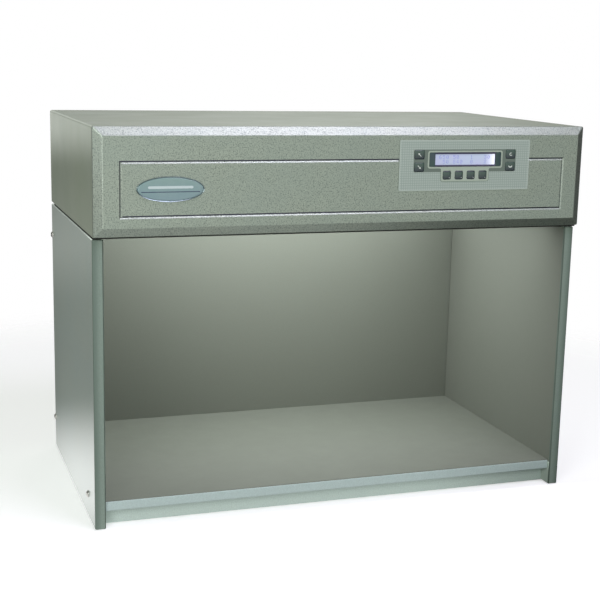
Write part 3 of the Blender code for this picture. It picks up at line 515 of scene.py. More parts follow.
def display_light():
    """Backlit display: pale lavender, brighter towards its right end."""
    low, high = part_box("display_bezel")
    look = Look("display_light", rgb(168, 174, 202), 0.3, coat=(0.3, 0.1))
    x = look.axis("X")
    bright = look.ease(x, high.x - 26 * MM, high.x - 3 * MM)
    look.stain(look.noise(22 * MM), 1.0, rgb(166, 178, 199), 0.35, 0.65)
    look.cover(bright, rgb(236, 240, 252))
    fall = look.off_middle("Z", middle_of("display_bezel").z)
    level = look.spread(fall, 4 * MM, 8 * MM, 0.37, 0.31)
    level = look.math("ADD", level, look.spread(x, low.x, high.x - 30 * MM, -0.02, 0.08))
    power = look.math("ADD", level, look.times(bright, 0.3))
    return look.glow(power, look.noise(0.4 * MM), 0.01 * MM, 0.2)


def display_ink():
    """Dark segments of the display, faint against its light."""
    look = Look("display_ink", rgb(122, 132, 200), 0.4)
    look.stain(look.noise(6 * MM), 1.0, rgb(134, 142, 206))
    return look.glow(0.25)


def badge_enamel():
    """Oval plate: blue-grey enamel, lighter and greener towards the top, with lighter pools scattered over
    it.
    """
    low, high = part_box("badge")
    look = Look("badge_enamel", rgb(122, 148, 158), coat=(0.8, 0.06))
    pool = look.noise(11 * MM)
    look.cover(look.spread(look.axis("Z"), low.z, high.z), rgb(132, 162, 156))
    look.stain(pool, 0.4, rgb(140, 164, 164))
    flake = look.noise(0.4 * MM, detail=1.0)
    return look.apply(look.level(flake, 0.3, 0.42), pool, 0.15 * MM, 0.3,
                        Metallic=look.spread(flake, 0.4, 0.7, 0.1, 0.35))


def brushed_metal(name, colour, roughness):
    """Bare or plated metal with fine drawn lines along X."""
    look = Look(name, colour, roughness, 1.0)
    lines = look.noise(0.5 * MM, detail=3.0, roughness=0.6, vector=look.stretched((0.04, 1.0, 1.0)))
    look.speckle(lines, 0.1)
    look.stain(look.noise(20 * MM, detail=4.0, roughness=0.6), 0.25, look.shades(lines, 0.3), 0.45, 0.8)
    return look.apply(look.level(lines, roughness - 0.07, roughness + 0.1), lines, 0.02 * MM, 0.4)


def moulded_plastic(name, colour, roughness):
    """Plain moulded plastic with a fine spark-eroded grain."""
    look = Look(name, colour, roughness)
    fine = look.noise(0.7 * MM)
    look.speckle(look.noise(16 * MM), 0.07)
    look.stain(fine, 0.2, look.shades(fine, 0.2), 0.4, 0.7)
    return look.apply(look.level(fine, roughness - 0.06, roughness + 0.08), fine, 0.04 * MM, 0.5)


def opal_diffuser():
    """Lit opal sheet: brighter under each tube and towards the middle and the rear."""
    low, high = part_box("diffuser")
    look = Look("opal_diffuser", rgb(250, 251, 255), 0.45, coat=(0.3, 0.15))
    y = look.axis("Y")
    first, last = (middle_of(f"lamp_tube_{number}").y for number in (1, 5))
    stripe = look.spread(look.wave("COSINE", y, first, (last - first) / 4), -1.0, 1.0, 0.92, 1.08)
    rim = look.ease(look.off_middle("X"), 0.06, high.x, 1.0, DIFFUSER_RIM)
    power = look.times(look.spread(y, low.y, high.y, *DIFFUSER_GLOW), rim, stripe)
    look.cover(look.noise(8 * MM), rgb(244, 248, 250))
    return look.glow(power, look.noise(1.2 * MM), 0.05 * MM, 0.4)


def lamp_glass():
    """Phosphor-coated tube, a little grey towards its ends."""
    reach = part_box("lamp_tube_1")[1].x
    look = Look("lamp_glass", rgb(246, 248, 252), 0.2, coat=(0.6, 0.05))
    end = look.ease(look.off_middle("X"), reach - 75 * MM, reach - 20 * MM)
    look.stain(look.noise(14 * MM, detail=3.0), 1.0, rgb(238, 242, 246))
    look.cover(end, rgb(176, 178, 180))
    return look.glow(look.spread(end, 0.0, 1.0, 1.6, 0.5))


def gear_paint():
    """White powder coat of the gear tray."""
    look = Look("gear_paint", rgb(234, 236, 234), 0.45)
    peel = look.noise(1.6 * MM)
    look.stain(look.noise(40 * MM, detail=5.0, roughness=0.65), 0.5, rgb(214, 214, 208), 0.45, 0.75)
    return look.apply(look.level(peel, 0.36, 0.52), peel, 0.06 * MM, 0.5)


def cellular(name, colour, other, roughness, size, strength):
    """Foam or a woven sleeve: small cells, one colour in their middles and another round them."""
    look = Look(name, colour, roughness)
    cells = look.cells(size)
    look.stain(cells, 1.0, other, 0.1, 0.6)
    return look.apply(None, cells, 0.3 * MM, strength)


def circuit_board():
    """Solder-masked board with tracks under the mask."""
    look = Look("circuit_board", rgb(22, 84, 48), 0.35, coat=(0.4, 0.2))
    tracks = look.node("ShaderNodeTexBrick")
    look.feed(tracks.inputs["Vector"], look.place)
    tracks.inputs["Scale"].default_value = 90.0
    tracks.inputs["Mortar Size"].default_value = 0.04
    lines = tracks.outputs["Fac"]
    look.cover(lines, rgb(52, 128, 78))
    look.stain(look.noise(0.8 * MM), 0.2, rgb(40, 110, 66), 0.4, 0.7)
    return look.apply(None, lines, 0.04 * MM, 0.5)


# ---------------------------------------------------------------- mesh tools

def add_object(name, data):
    made = bpy.data.objects.new(name, data)
    bpy.context.scene.collection.objects.link(made)
    return made


def mesh_from(name, bm):
    """Mesh made from a bmesh, which is freed."""
    mesh = bpy.data.meshes.new(name)
    bm.to_mesh(mesh)
    bm.free()
    return mesh


def front_view(name):
    """A node's box, and the middle and the half size of its outline in X and Z."""
    low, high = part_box(name)
    middle = ((low.x + high.x) / 2, (low.z + high.z) / 2)
    return low, high, middle, ((high.x - low.x) / 2, (high.z - low.z) / 2)


def middle_of(name):
    low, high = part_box(name)
    return (low + high) / 2


def rounded(low, high, radius, steps=6):
    """Rectangle from corner to corner with rounded corners, anticlockwise."""
    corners = ((high[0], high[1]), (low[0], high[1]), (low[0], low[1]), (high[0], low[1]))
    return filleted([(x, z, radius) for x, z in corners], steps)


def pad(half, radius, inset=0.0, steps=6):
    """Rounded rectangle about the origin, drawn in by an inset."""
    reach = (half[0] - inset, half[1] - inset)
    return rounded((-reach[0], -reach[1]), reach, radius, steps)


def filleted(corners, steps=6):
    """Outline through (x, z, radius) corners, each rounded by its radius, convex or concave."""
    outline = []
    count = len(corners)
    for i, (x, z, radius) in enumerate(corners):
        here = Vector((x, z))
        before = (Vector(corners[i - 1][:2]) - here).normalized()
        after = (Vector(corners[(i + 1) % count][:2]) - here).normalized()
        half = math.acos(max(-1.0, min(1.0, before.dot(after)))) / 2
        middle = here + (before + after).normalized() * radius / math.sin(half)
        first = here + before * radius / math.tan(half) - middle
        last = here + after * radius / math.tan(half) - middle
        start = math.atan2(first.y, first.x)
        sweep = (math.atan2(last.y, last.x) - start + math.pi) % (2 * math.pi) - math.pi
        for step in range(steps + 1):
            turn = start + sweep * step / steps
            outline.append((middle.x + radius * math.cos(turn), middle.y + radius * math.sin(turn)))
    return outline


def ellipse(half_a, half_b, sides=96):
    turns = [2 * math.pi * i / sides for i in range(sides)]
    return [(half_a * math.cos(turn), half_b * math.sin(turn)) for turn in turns]


def shifted(outline, x, z):
    return [(a + x, b + z) for a, b in outline]


def add_piece(name, source, material, body=CABINET, crease=35):
    """Object from a bmesh or mesh in the model's frame, riding on a body."""
    mesh = mesh_from(name, source) if isinstance(source, bmesh.types.BMesh) else source
    mesh.name = name
    mesh.materials.clear()
    mesh.materials.append(material)
    mesh.shade_smooth()
    mesh.set_sharp_from_angle(angle=math.radians(crease))
    piece = add_object(name, mesh)
    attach(piece, body)
    return piece


def film(name, outlines, back, thick, material, body=CABINET, soften=0.03 * MM):
    """Flat plate facing -Y from outlines in X and Z; outlines inside others are holes."""
    curve = bpy.data.curves.new(name, "CURVE")
    curve.dimensions = "2D"
    curve.fill_mode = "BOTH"
    curve.bevel_depth = soften
    curve.bevel_resolution = 1
    curve.offset = -soften
    curve.extrude = thick / 2 - soften
    for outline in outlines:
        spline = curve.splines.new("POLY")
        spline.points.add(len(outline) - 1)
        spline.use_cyclic_u = True
        for spot, (x, z) in zip(spline.points, outline):
            spot.co = (x, z, 0, 1)
    holder = add_object(name, curve)
    graph = bpy.context.evaluated_depsgraph_get()
    mesh = bpy.data.meshes.new_from_object(holder.evaluated_get(graph))
    bpy.data.objects.remove(holder)
    bpy.data.curves.remove(curve)
    mesh.transform(Matrix.Translation((0, back - thick / 2, 0)) @ Matrix.Rotation(math.pi / 2, 4, "X"))
    return add_piece(name, mesh, material, body, crease=50)


def skin(rings, closed=True):
    """Mesh through rings of points with equal counts, or one point for a tip."""
    bm = bmesh.new()
    rows = [[bm.verts.new(corner) for corner in ring] for ring in rings]
    for low, high in zip(rows, rows[1:]):
        count = max(len(low), len(high))
        for i in range(count):
            j = (i + 1) % count
            corners = (low[i % len(low)], low[j % len(low)],
                       high[j % len(high)], high[i % len(high)])
            bm.faces.new(list(dict.fromkeys(corners)))
    if closed:
        for row in (rows[0], rows[-1]):
            if len(row) > 2:
                bm.faces.new(row)
    bmesh.ops.recalc_face_normals(bm, faces=bm.faces)
    return bm


def front_loft(middle, sections, closed=True):
    """Skin through (y, outline) sections whose outlines are about the middle (x, z)."""
    return skin([[Vector((middle[0] + a, y, middle[1] + b)) for a, b in outline]
                 for y, outline in sections], closed)


def front_hoop(middle, sections):
    """The same with a hole through it: the last section joins the first."""
    bm = front_loft(middle, sections + sections[:1], closed=False)
    bmesh.ops.remove_doubles(bm, verts=bm.verts, dist=1e-7)
    bmesh.ops.recalc_face_normals(bm, faces=bm.faces)
    return bm


def turned_along_x(middle, profile, sides=48):
    """Turned piece from (x, radius) pairs about a line along X through (y, z)."""
    rings = []
    for x, radius in profile:
        spots = ellipse(radius, radius, sides) if radius else [(0, 0)]
        rings.append([Vector((x, middle[0] + a, middle[1] + b)) for a, b in spots])
    return skin(rings)


def carve(piece, bm):
    """Cuts a closed mesh out of a piece."""
    cutter = add_object("cutter", mesh_from("cutter", bm))
    modifier = piece.modifiers.new("Cut", "BOOLEAN")
    modifier.operation = "DIFFERENCE"
    modifier.solver = "EXACT"
    modifier.object = cutter
    graph = bpy.context.evaluated_depsgraph_get()
    mesh = bpy.data.meshes.new_from_object(piece.evaluated_get(graph))
    piece.modifiers.clear()
    piece.data = mesh
    bpy.data.objects.remove(cutter)


def soften_edges(name, width, segments=2, crease=50, clamp=True):
    """Joins a CAD node's triangles as it shows and rounds its sharp edges; its mesh is left alone."""
    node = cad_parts[name]
    node.data.shade_smooth()
    node.modifiers.new("Joined", "WELD").merge_threshold = 0.01 * MM
    if width:
        bevel = node.modifiers.new("Soft edges", "BEVEL")
        bevel.width = width
        bevel.segments = segments
        bevel.use_clamp_overlap = clamp
        bevel.limit_method = "ANGLE"
        bevel.angle_limit = math.radians(60)
    split = node.modifiers.new("Creases", "EDGE_SPLIT")
    split.split_angle = math.radians(crease)
    node.modifiers.new("Even shading", "WEIGHTED_NORMAL").keep_sharp = True


def dress(name, *materials, choose=None, soft=0.0):
    """Gives a CAD node its materials, one picked for each face by choose(centre, normal)."""
    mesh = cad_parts[name].data
    mesh.materials.clear()
    for material in materials:
        mesh.materials.append(material)
    for face in mesh.polygons:
        face.material_index = choose(face.center, face.normal) if choose else 0
    if soft:
        soften_edges(name, soft)


# ---------------------------------------------------------------- booth

def dress_booth(outer, inner, band, base_edge, plinth, raw):
    """Outer laminate outside, neutral grey inside, bands along the front edges."""
    inner_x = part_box("left_side_panel")[1].x

    def side(centre, normal):
        if normal.z < -0.9:
            return 3
        if normal.y < -0.1:
            return 2
        return 1 if abs(centre.x) < abs(inner_x) + 0.1 * MM else 0

    def back(centre, normal):
        if normal.y < -0.5:
            return 1
        return 0 if normal.y > 0.5 else 3

    def base(centre, normal):
        if normal.z > 0.5:
            return 1
        return 2 if normal.y < -0.02 else 3

    def foot(centre, normal):
        return 0 if normal.y < 0.5 else 1

    for name in ("left_side_panel", "right_side_panel"):
        dress(name, outer, inner, band, raw, choose=side)
        soften_edges(name, TOP_EDGE_DEPTH, segments=1, crease=40, clamp=False)
    dress("back_panel", outer, inner, band, raw, choose=back, soft=0.4 * MM)
    dress("base_board", outer, inner, base_edge, raw, choose=base, soft=0.4 * MM)
    dress("plinth", plinth, raw, choose=foot, soft=0.4 * MM)


def build_screw_heads(steel):
    """Dome screws with a cross recess, in place of the plain ones."""
    edge, overshoot, arm_r = mm(0.2, 6, 0.2)
    dome = [(SCREW_HEAD_HEIGHT * math.sin(turn), SCREW_HEAD_R * math.cos(turn))
            for turn in [math.radians(9 + 9 * i) for i in range(9)]]
    crown = [(0, SCREW_HEAD_R - edge), (edge, SCREW_HEAD_R), *dome, (SCREW_HEAD_HEIGHT, 0)]
    for name in [n for n in sorted(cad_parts) if n.startswith("side_screw")]:
        low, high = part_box(name)
        middle = (low + high) / 2
        sign = 1 if middle.x > 0 else -1
        face = high.x - SCREW_HEAD_HEIGHT if sign > 0 else low.x + SCREW_HEAD_HEIGHT
        tip = low.x if sign > 0 else high.x
        profile = [(tip, 0), (tip + sign * 2 * MM, SCREW_SHANK_R), (face, SCREW_SHANK_R)]
        profile += [(face + sign * rise, radius) for rise, radius in crown]
        head = add_piece(name + "_head", turned_along_x((middle.y, middle.z), profile), steel,
                         crease=30)
        for arm in (RECESS_ARM, RECESS_ARM[::-1]):
            rings = []
            for rise, share in ((RECESS_FLOOR, 0.8), (overshoot, 1.3)):
                outline = pad([side * share for side in arm], arm_r, steps=2)
                rings.append([Vector((face + sign * rise, middle.y + u, middle.z + v)) for u, v in outline])
            carve(head, skin(rings))
        head.data.shade_smooth()
        head.data.set_sharp_from_angle(angle=math.radians(30))
        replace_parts(head, name)


# ---------------------------------------------------------------- key panel

def build_panel_graphics(band_print, field_print, outline_print):
    """Dark band, light display frame and key field, as thin layers on the film."""
    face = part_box("key_overlay")[0].y
    window_r, hole_r, corner, fillet = mm(1.8, 2.2, 3.2, 2.2)

    def cap(name, grow=0.0):
        low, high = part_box(name)
        inset = KEY_FLANGE - grow
        return (low.x + inset, low.z + inset), (high.x - inset, high.z - inset)

    def holes(names):
        return [rounded(*cap(name, KEY_CLEARANCE), hole_r) for name in names]

    caps = [cap(name) for name in SIDE_KEYS]
    low = [min(box[0][i] for box in caps) - BAND_LIP for i in (0, 1)]
    high = [max(box[1][i] for box in caps) + BAND_LIP for i in (0, 1)]
    bezel_low, bezel_high = ((spot.x, spot.z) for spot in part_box("display_bezel"))
    gap = 0.3 * MM
    window = rounded([side - gap for side in bezel_low], [side + gap for side in bezel_high], window_r)
    film("key_panel_band", [rounded(low, high, hole_r), window, *holes(SIDE_KEYS)], face, FILM, band_print)

    left, bottom = (side - FRAME_WIDTH for side in bezel_low)
    right, top = (side + FRAME_WIDTH for side in bezel_high)
    tray_left = cap(ROW_KEYS[0])[0][0] - TRAY_SIDE
    tray_right = cap(ROW_KEYS[-1])[1][0] + TRAY_SIDE
    tray_low = cap(ROW_KEYS[0])[0][1] - TRAY_BELOW
    field = filleted([
        (left, top, corner), (left, bottom, corner), (tray_left, bottom, fillet),
        (tray_left, tray_low, corner), (tray_right, tray_low, corner), (tray_right, bottom, fillet),
        (right, bottom, corner), (right, top, corner),
    ])
    film("key_panel_field", [field, window, *holes(ROW_KEYS)], face, 2.5 * FILM, field_print,
         soften=0.07 * MM)

    under = rounded((tray_left - TRAY_LINE, tray_low - TRAY_LINE),
                    (tray_right + TRAY_LINE, bottom - TRAY_LINE), corner + TRAY_LINE)
    film("key_panel_outline", [under, *holes(ROW_KEYS)], face, 0.5 * FILM, outline_print,
         soften=0.01 * MM)


def build_bezel(plastic):
    """Display surround with soft outer edges and a sloping inner lip."""
    low, high, middle, half = front_view("display_bezel")

    def outer(inset):
        return pad(half, 1.8 * MM - inset / 2, inset)

    def inner(grow):
        return pad(APERTURE, 0.6 * MM + grow / 2, -grow)

    front, back = low.y, high.y
    bezel = front_hoop(middle, [
        (back, outer(0)), (front + 0.35 * MM, outer(0)), (front + 0.1 * MM, outer(0.12 * MM)),
        (front, outer(0.4 * MM)), (front, inner(1.0 * MM)), (front + 0.15 * MM, inner(0.8 * MM)),
        (front + 0.9 * MM, inner(0.1 * MM)), (back, inner(0)),
    ])
    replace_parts(add_piece("display_surround", bezel, plastic), "display_bezel")


def build_display(light, ink):
    """Backlit glass with two rows of plain dot-matrix digits."""
    middle = front_view("display_bezel")[2]
    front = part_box("display_module")[0].y
    glass = shifted(pad(APERTURE, 0.5 * MM, -0.4 * MM), *middle)
    film("display_screen", [glass], front - 0.05 * MM, 0.4 * MM, light,
         soften=0.05 * MM)

    face = front - 0.53 * MM
    first_line = middle[1] + LINE_PITCH - 0.6 * MM
    left = middle[0] - DIGIT_PITCH * len(READOUT[0]) / 2
    bm = bmesh.new()
    for row, text in enumerate(READOUT):
        for column, digit in enumerate(text):
            for line, cells in enumerate(DIGITS.get(digit, "").split()):
                for across, cell in enumerate(cells):
                    if cell == "1":
                        x = left + column * DIGIT_PITCH + across * DOT_PITCH
                        add_dot(bm, x, face, first_line - row * LINE_PITCH - line * DOT_PITCH)
    add_piece("display_digits", bm, ink)


def add_dot(bm, x, face, z):
    """One lit dot: a flat block whose front is drawn in a little."""
    rows = []
    for y, low in ((face + DOT_DEPTH, 0.0), (face, 0.08 * MM)):
        high = DOT - low
        corners = ((low, low), (low, high), (high, high), (high, low))
        rows.append([bm.verts.new((x + a, y, z - b)) for a, b in corners])
    for i in range(4):
        j = (i + 1) % 4
        bm.faces.new((rows[0][i], rows[0][j], rows[1][j], rows[1][i]))
    bm.faces.new(rows[1])
    bm.faces.new(list(reversed(rows[0])))


def build_keys(key_material, mark_material):
    """Pillow keys with a flange and stem, and their raised marks."""
    pillow = (mm(0, 3.2), mm(0.03, 2.2), mm(0.12, 1.3), mm(0.3, 0.7), mm(0.6, 0.25),
              mm(0.9, 0.05), mm(1.2, 0))
    stem = pad(KEY_STEM, 1.2 * MM)
    for name in SIDE_KEYS + ROW_KEYS:
        low, high, middle, half = front_view(name)
        flange_front, flange_back = low.y + 2.4 * MM, low.y + 3.4 * MM
        crown = low.y + 0.07 * MM

        def cap(inset, half=half):
            radius = max(1.9 * MM - inset / 3, 0.6 * MM)
            return pad(half, radius, KEY_FLANGE + inset)

        sections = [(crown + depth, cap(inset)) for depth, inset in pillow]
        sections += [(flange_front, cap(0)), (flange_front, cap(-KEY_FLANGE)),
                     (flange_back, cap(-KEY_FLANGE)), (flange_back, stem), (high.y, stem)]
        key = add_piece(name + "_cap", front_loft(middle, sections), key_material,
                        body=name + "_button", crease=50)
        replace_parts(key, name)
        film(f"{name}_mark_1", [shifted(key_mark(name), *middle)], crown + 0.02 * MM, 0.09 * MM,
             mark_material, body=name + "_button", soften=0.02 * MM)


def key_mark(name):
    """Outline of a key's plain symbol about its middle: an arrow, part of a ring, a tray or a tick."""
    if name in ROW_KEYS:
        return rounded(mm(3.1, -4.3), mm(3.8, -2.9), 0.25 * MM, 3)
    if name == "key_upper_left":
        return arrow(135)
    if name == "key_lower_left":
        return arrow(-45)
    if name == "key_upper_right":
        return ring(2.3 * MM, 1.3 * MM, 60, 330)
    half = (mm(-2.9, 1.2, 0.3), mm(-2.9, -0.2, 1.0), mm(-1.6, -1.6, 0.6))
    notch = (mm(2.0, 1.2, 0.2), mm(1.6, 0.0, 0.4))
    return filleted([*half, *mirrored(half), *notch, *mirrored(notch)], 3)


def mirrored(corners):
    return [(-x, z, radius) for x, z, radius in reversed(corners)]


def arrow(turn):
    """Outline of an arrow through the middle, pointing along turn in degrees."""
    half_shaft, half_head, length, head = mm(0.42, 1.5, 3.3, 2.6)
    flat = [(-length, half_shaft), (-length, -half_shaft), (length - head, -half_shaft),
            (length - head, -half_head), (length, 0.0), (length - head, half_head),
            (length - head, half_shaft)]
    angle = math.radians(turn)
    return [(a * math.cos(angle) - b * math.sin(angle), a * math.sin(angle) + b * math.cos(angle))
            for a, b in flat]


def ring(outer, inner, start, end, steps=20):
    """Outline of part of a ring between two angles in degrees."""
    turns = [math.radians(start + (end - start) * i / steps) for i in range(steps + 1)]
    outside = [(outer * math.cos(turn), outer * math.sin(turn)) for turn in turns]
    inside = [(inner * math.cos(turn), inner * math.sin(turn)) for turn in reversed(turns)]
    return outside + inside


# ---------------------------------------------------------------- badge

def build_badge(rim_metal, enamel, pale, dark):
    """Blank oval plate: dished rim, domed enamel, and a plain pale bar over a thin dark line."""
    low, high, middle, half = front_view("badge")
    back, front = high.y, low.y

    def oval(inset, share=1.0):
        return ellipse((half[0] - inset) * share, (half[1] - inset) * share, 128)

    rim = front_hoop(middle, [
        (back, oval(0)), (front + 0.25 * MM, oval(0)), (front + 0.06 * MM, oval(0.06 * MM)),
        (front, oval(0.2 * MM)), (front + 0.06 * MM, oval(0.36 * MM)),
        (front + 0.6 * MM, oval(1.0 * MM)), (front + 0.9 * MM, oval(BADGE_RIM)), (back, oval(BADGE_RIM)),
    ])
    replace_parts(add_piece("badge_rim", rim, rim_metal), "badge")

    sections = [(back, oval(BADGE_RIM)), (front + 0.75 * MM, oval(BADGE_RIM)),
                (front + 0.45 * MM, oval(BADGE_RIM + 0.35 * MM)),
                (front + 0.25 * MM, oval(BADGE_RIM + 1.1 * MM))]
    sections += [(front + 0.12 * MM + 0.1 * MM * share ** 2, oval(BADGE_RIM, share))
                 for share in (0.8, 0.6, 0.35, 0.12)]
    add_piece("badge_dome", front_loft(middle, sections), enamel, crease=50)

    for name, (size, rise), radius, ink in (("badge_bar", BADGE_BAR, 1.7 * MM, pale),
                                            ("badge_line", BADGE_LINE, 0.5 * MM, dark)):
        outline = shifted(pad(size, radius), middle[0], middle[1] + rise)
        film(name, [outline], front + 0.3 * MM, 0.22 * MM, ink)


# ---------------------------------------------------------------- lamps and rear

def build_lamps(glass, metal):
    """Smooth tubes with pressed end caps and pins; each turns with its lamp."""
    for number in LAMPS:
        name = f"lamp_tube_{number}"
        low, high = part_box(name)
        line = ((low.y + high.y) / 2, (low.z + high.z) / 2)
        radius = (high.z - low.z) / 2
        end = high.x - PIN_LENGTH
        glass_r = radius - CAP_OVER_GLASS
        glass_end = end - CAP_LENGTH + 2 * MM

        def add_turned(label, profile, material, place=line, sides=64, number=number, name=name):
            return add_piece(f"{name}_{label}", turned_along_x(place, profile, sides), material,
                             f"lamp_{number}")

        tube = add_turned("glass", [(-glass_end, glass_r - 1 * MM), (-glass_end, glass_r),
                                    (glass_end, glass_r), (glass_end, glass_r - 1 * MM)], glass)
        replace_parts(tube, name)
        for side, sign in SIDES:
            cap = [(sign * (end - inward), radius - drop) for inward, drop in CAP_PROFILE]
            add_turned(f"cap_{side}", cap, metal)
            pin = [(sign * (end + out), pin_r) for out, pin_r in PIN_PROFILE]
            for label, offset in (("a", -PIN_OFFSET), ("b", PIN_OFFSET)):
                add_turned(f"pin_{side}_{label}", pin, metal, (line[0] + offset, line[1]), 16)


def blade_faces():
    """Picks material 1 for the three blades in the mains inlet's socket, 0 for the rest."""
    middle, face = middle_of("mains_inlet"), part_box("mains_inlet")[1].y
    blades = [(middle.x + x, middle.z + SOCKET_RISE + z) for x, z in BLADE_SPOTS]
    depths = (face - SOCKET_DEPTH + 0.2 * MM, face - 2 * MM)

    def choose(centre, normal):
        within = any(abs(centre.x - x) < BLADE_REACH[0] and abs(centre.z - z) < BLADE_REACH[1]
                     for x, z in blades)
        return 1 if within and depths[0] < centre.y < depths[1] else 0
    return choose


def build_rocker_marks(ink):
    """Plain line and ring on the rocker's two halves, square to each half."""
    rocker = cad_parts["switch_rocker"]
    middle = middle_of("switch_rocker")
    line = [pad(mm(0.45, 1.9), 0.3 * MM, steps=3)]
    circle = [ellipse(radius, radius, 48) for radius in mm(1.9, 1.25)]
    for name, outlines, rise in (("line", line, MARK_RISE), ("ring", circle, -MARK_RISE)):
        start = Vector((middle.x, middle.y + 50 * MM, middle.z + rise))
        _, spot, normal, _ = rocker.ray_cast(start, Vector((0, -1, 0)))
        mark = film(f"rocker_mark_{name}", outlines, 0.02 * MM, 0.08 * MM, ink, body="rocker",
                    soften=0.02 * MM)
        mark.data.transform(Matrix.Translation(spot) @ normal.to_track_quat("-Y", "Z").to_matrix().to_4x4())


# ---------------------------------------------------------------- stage

def build_floor():
    """Plain pale floor that fades out into the white backdrop."""
    count = 24
    reaches = [FLOOR_RADIUS * (number / count) ** 2 for number in range(1, count + 1)]
    rings = [[(0, 0, 0)]] + [[(a, b, 0) for a, b in ellipse(reach, reach)] for reach in reaches]
    floor = add_object("floor", mesh_from("floor", skin(rings, closed=False)))
    floor.location.z = -0.2 * MM

    look = Look("floor_paper", rgb(246, 247, 246), 0.9, Specular_IOR_Level=0.1,
                    Emission_Color=(1, 1, 1, 1), Emission_Strength=0.4)
    distance = look.fed("ShaderNodeVectorMath", "Value", look.place, operation="LENGTH")
    lit = look.node("ShaderNodeEmission")
    look.feed(lit.inputs["Strength"], floor_brightness(look))
    paper = look.by_ray(look.shader.outputs[0], lit.outputs[0])
    faded = look.blend(look.ease(distance, *FLOOR_FADE), paper,
                         look.node("ShaderNodeBsdfTransparent").outputs[0])
    look.feed(look.tree.nodes["Material Output"].inputs["Surface"], faded)
    look.colour = look.shades(look.noise(2 * MM, detail=3.0), 0.01)
    floor.data.materials.append(look.apply())


def floor_brightness(look):
    """Lit floor as the object sees it: bright along the left, dim behind and to the right."""
    x, y = look.axis("X"), look.axis("Y")
    left = look.times(look.ease(x, -0.38, -0.3, 1.0, 0.0),
                        look.ease(y, -0.3, -0.05))
    left = look.spread(left, 0.0, 1.0, FLOOR_MIDDLE, FLOOR_LEFT)
    right = look.ease(x, 0.1, 0.38, 1.0, FLOOR_RIGHT / FLOOR_MIDDLE)
    behind = look.ease(y, 0.0, 0.5, 1.0, 0.07)
    return look.times(left, right, behind)


def tinted(level, tint):
    return [level * share for share in tint] + [1]


def build_world():
    """White backdrop; the light it gives is dim at the horizon and brighter above."""
    world = bpy.data.worlds.new("studio")
    bpy.context.scene.world = world
    world.use_nodes = True
    sky = Nodes(world.node_tree)
    backdrop = sky.tree.nodes["Background"]
    backdrop.inputs["Color"].default_value = (1, 1, 1, 1)
    backdrop.inputs["Strength"].default_value = 1.0
    ahead = sky.node("ShaderNodeSeparateXYZ")
    sky.feed(ahead.inputs[0], sky.node("ShaderNodeTexCoord").outputs["Generated"])
    x, y, z = (ahead.outputs[letter] for letter in "XYZ")
    front = sky.mix(sky.ease(z, 0.15, 0.55), *[tinted(level, SKY_TINT) for level in SKY_FRONT])
    around = sky.mix(sky.ease(y, -0.3, 0.3), front, sky.ramp(z, SKY, SKY_TINT))
    room = sky.fed("ShaderNodeBackground", 0, around, sky.ramp(x, SKY_SIDES))
    sky.feed(sky.tree.nodes["World Output"].inputs["Surface"], sky.by_ray(backdrop.outputs[0], room))


def build_lights():
    for name, place, target, size, watts, colour in SOFTBOXES:
        light = bpy.data.lights.new(name, "AREA")
        light.shape = "RECTANGLE"
        light.size, light.size_y = size
        light.energy = watts
        light.color = colour
        lamp = add_object(name, light)
        lamp.location = place
        lamp.rotation_euler = (Vector(target) - Vector(place)).to_track_quat("-Z", "Y").to_euler()


def build_camera():
    yaw, pitch, roll = (math.radians(turn) for turn in (CAMERA_YAW, CAMERA_PITCH, CAMERA_ROLL))
    turns = ((-yaw, "Z"), (math.pi / 2 - pitch, "X"), (roll, "Z"))
    data = bpy.data.cameras.new("camera")
    data.lens = CAMERA_LENS
    camera = add_object("camera", data)
    place = Matrix.Translation(CAMERA_PLACE)
    for turn, axis in turns:
        place @= Matrix.Rotation(turn, 4, axis)
    camera.matrix_world = place
    bpy.context.scene.camera = camera


# ---------------------------------------------------------------- assembly

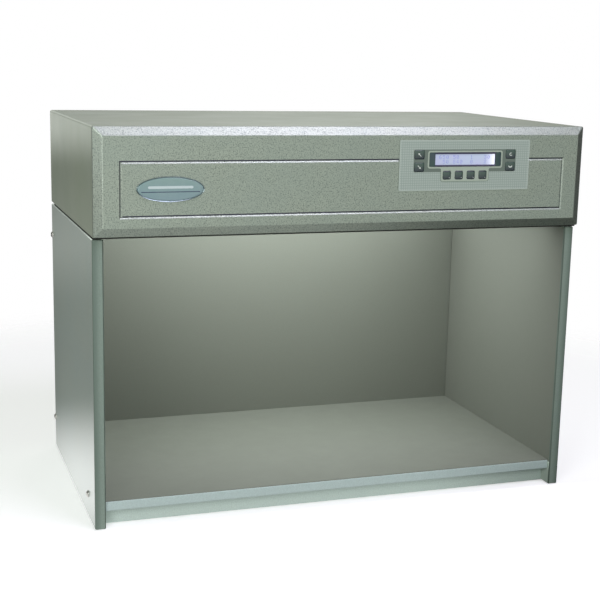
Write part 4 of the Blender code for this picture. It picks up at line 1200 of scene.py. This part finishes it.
def dress_hidden_parts(steel):
    """Nodes inside and behind the hood that show as they are."""
    holder = moulded_plastic("holder_plastic", rgb(232, 231, 225), 0.35)
    case = brushed_metal("ballast_case", rgb(205, 207, 210), 0.36)
    black = moulded_plastic("black_plastic", rgb(36, 36, 38), 0.42)
    foam = cellular("foam_rubber", rgb(18, 18, 18), rgb(52, 52, 50), 0.9, 0.9 * MM, 0.8)
    sleeve = cellular("wire_sleeve", rgb(66, 66, 68), rgb(22, 22, 24), 0.6, 1.2 * MM, 0.7)
    looks = (                 # first part of the nodes' names, material, rounding
        ("gear_tray", gear_paint(), 0),
        ("reflector", brushed_metal("reflector_sheet", rgb(232, 234, 236), 0.16), 0),
        ("diffuser", opal_diffuser(), 0.4 * MM),
        ("lampholder_", holder, 0.5 * MM),
        ("ballast_", case, 0.6 * MM),
        ("power_supply", case, 0.6 * MM),
        ("hood_bolt_", steel, 0.3 * MM),
        ("seat_strip_", foam, 0),
        ("control_board", circuit_board(), 0),
        ("display_module", moulded_plastic("display_frame", rgb(60, 64, 62), 0.4), 0),
        ("wiring_loom", sleeve, 0),
        ("fuse_drawer", black, 0.25 * MM),
        ("switch_", black, 0.25 * MM),
    )
    for start, material, soft in looks:
        for name in [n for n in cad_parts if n.startswith(start)]:
            dress(name, material, soft=soft)
    tin = brushed_metal("tinned_blade", rgb(214, 214, 210), 0.25)
    dress("mains_inlet", black, tin, choose=blade_faces(), soft=0.25 * MM)


def build_object():
    dress_booth(outer_board(), chamber_paint(), edge_band(),
                speckled_board("base_edge", rgb(184, 203, 199)),
                speckled_board("plinth_board", rgb(206, 224, 217)), raw_board())
    steel = brushed_metal("screw_steel", rgb(206, 206, 200), 0.26)
    build_screw_heads(steel)

    dress("lamp_housing", hood_paint(), soft=0.4 * MM)
    dress("front_fascia", structured_paint())
    soften_edges("front_fascia", 0, crease=20)
    dress("key_overlay", overlay_film(), soft=0.15 * MM)
    build_panel_graphics(printed_film("band_print", rgb(104, 118, 108)),
                         printed_film("field_print", rgb(168, 182, 166)),
                         printed_film("outline_print", rgb(108, 126, 112)))
    build_bezel(bezel_plastic())
    build_display(display_light(), display_ink())
    marks = printed_film("mark_print", rgb(214, 222, 214))
    build_keys(key_film(), marks)
    build_badge(brushed_metal("rim_metal", rgb(140, 156, 158), 0.3), badge_enamel(),
                printed_film("badge_pale", rgb(196, 212, 212)), printed_film("badge_dark", rgb(52, 68, 92)))

    dress_hidden_parts(steel)
    build_lamps(lamp_glass(), brushed_metal("cap_metal", rgb(196, 198, 200), 0.3))
    build_rocker_marks(marks)
    for name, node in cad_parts.items():
        if not node.modifiers:
            soften_edges(name, 0)


bpy.context.scene.view_settings.view_transform = "Standard"
build_object()
build_floor()
build_world()
build_lights()
build_camera()
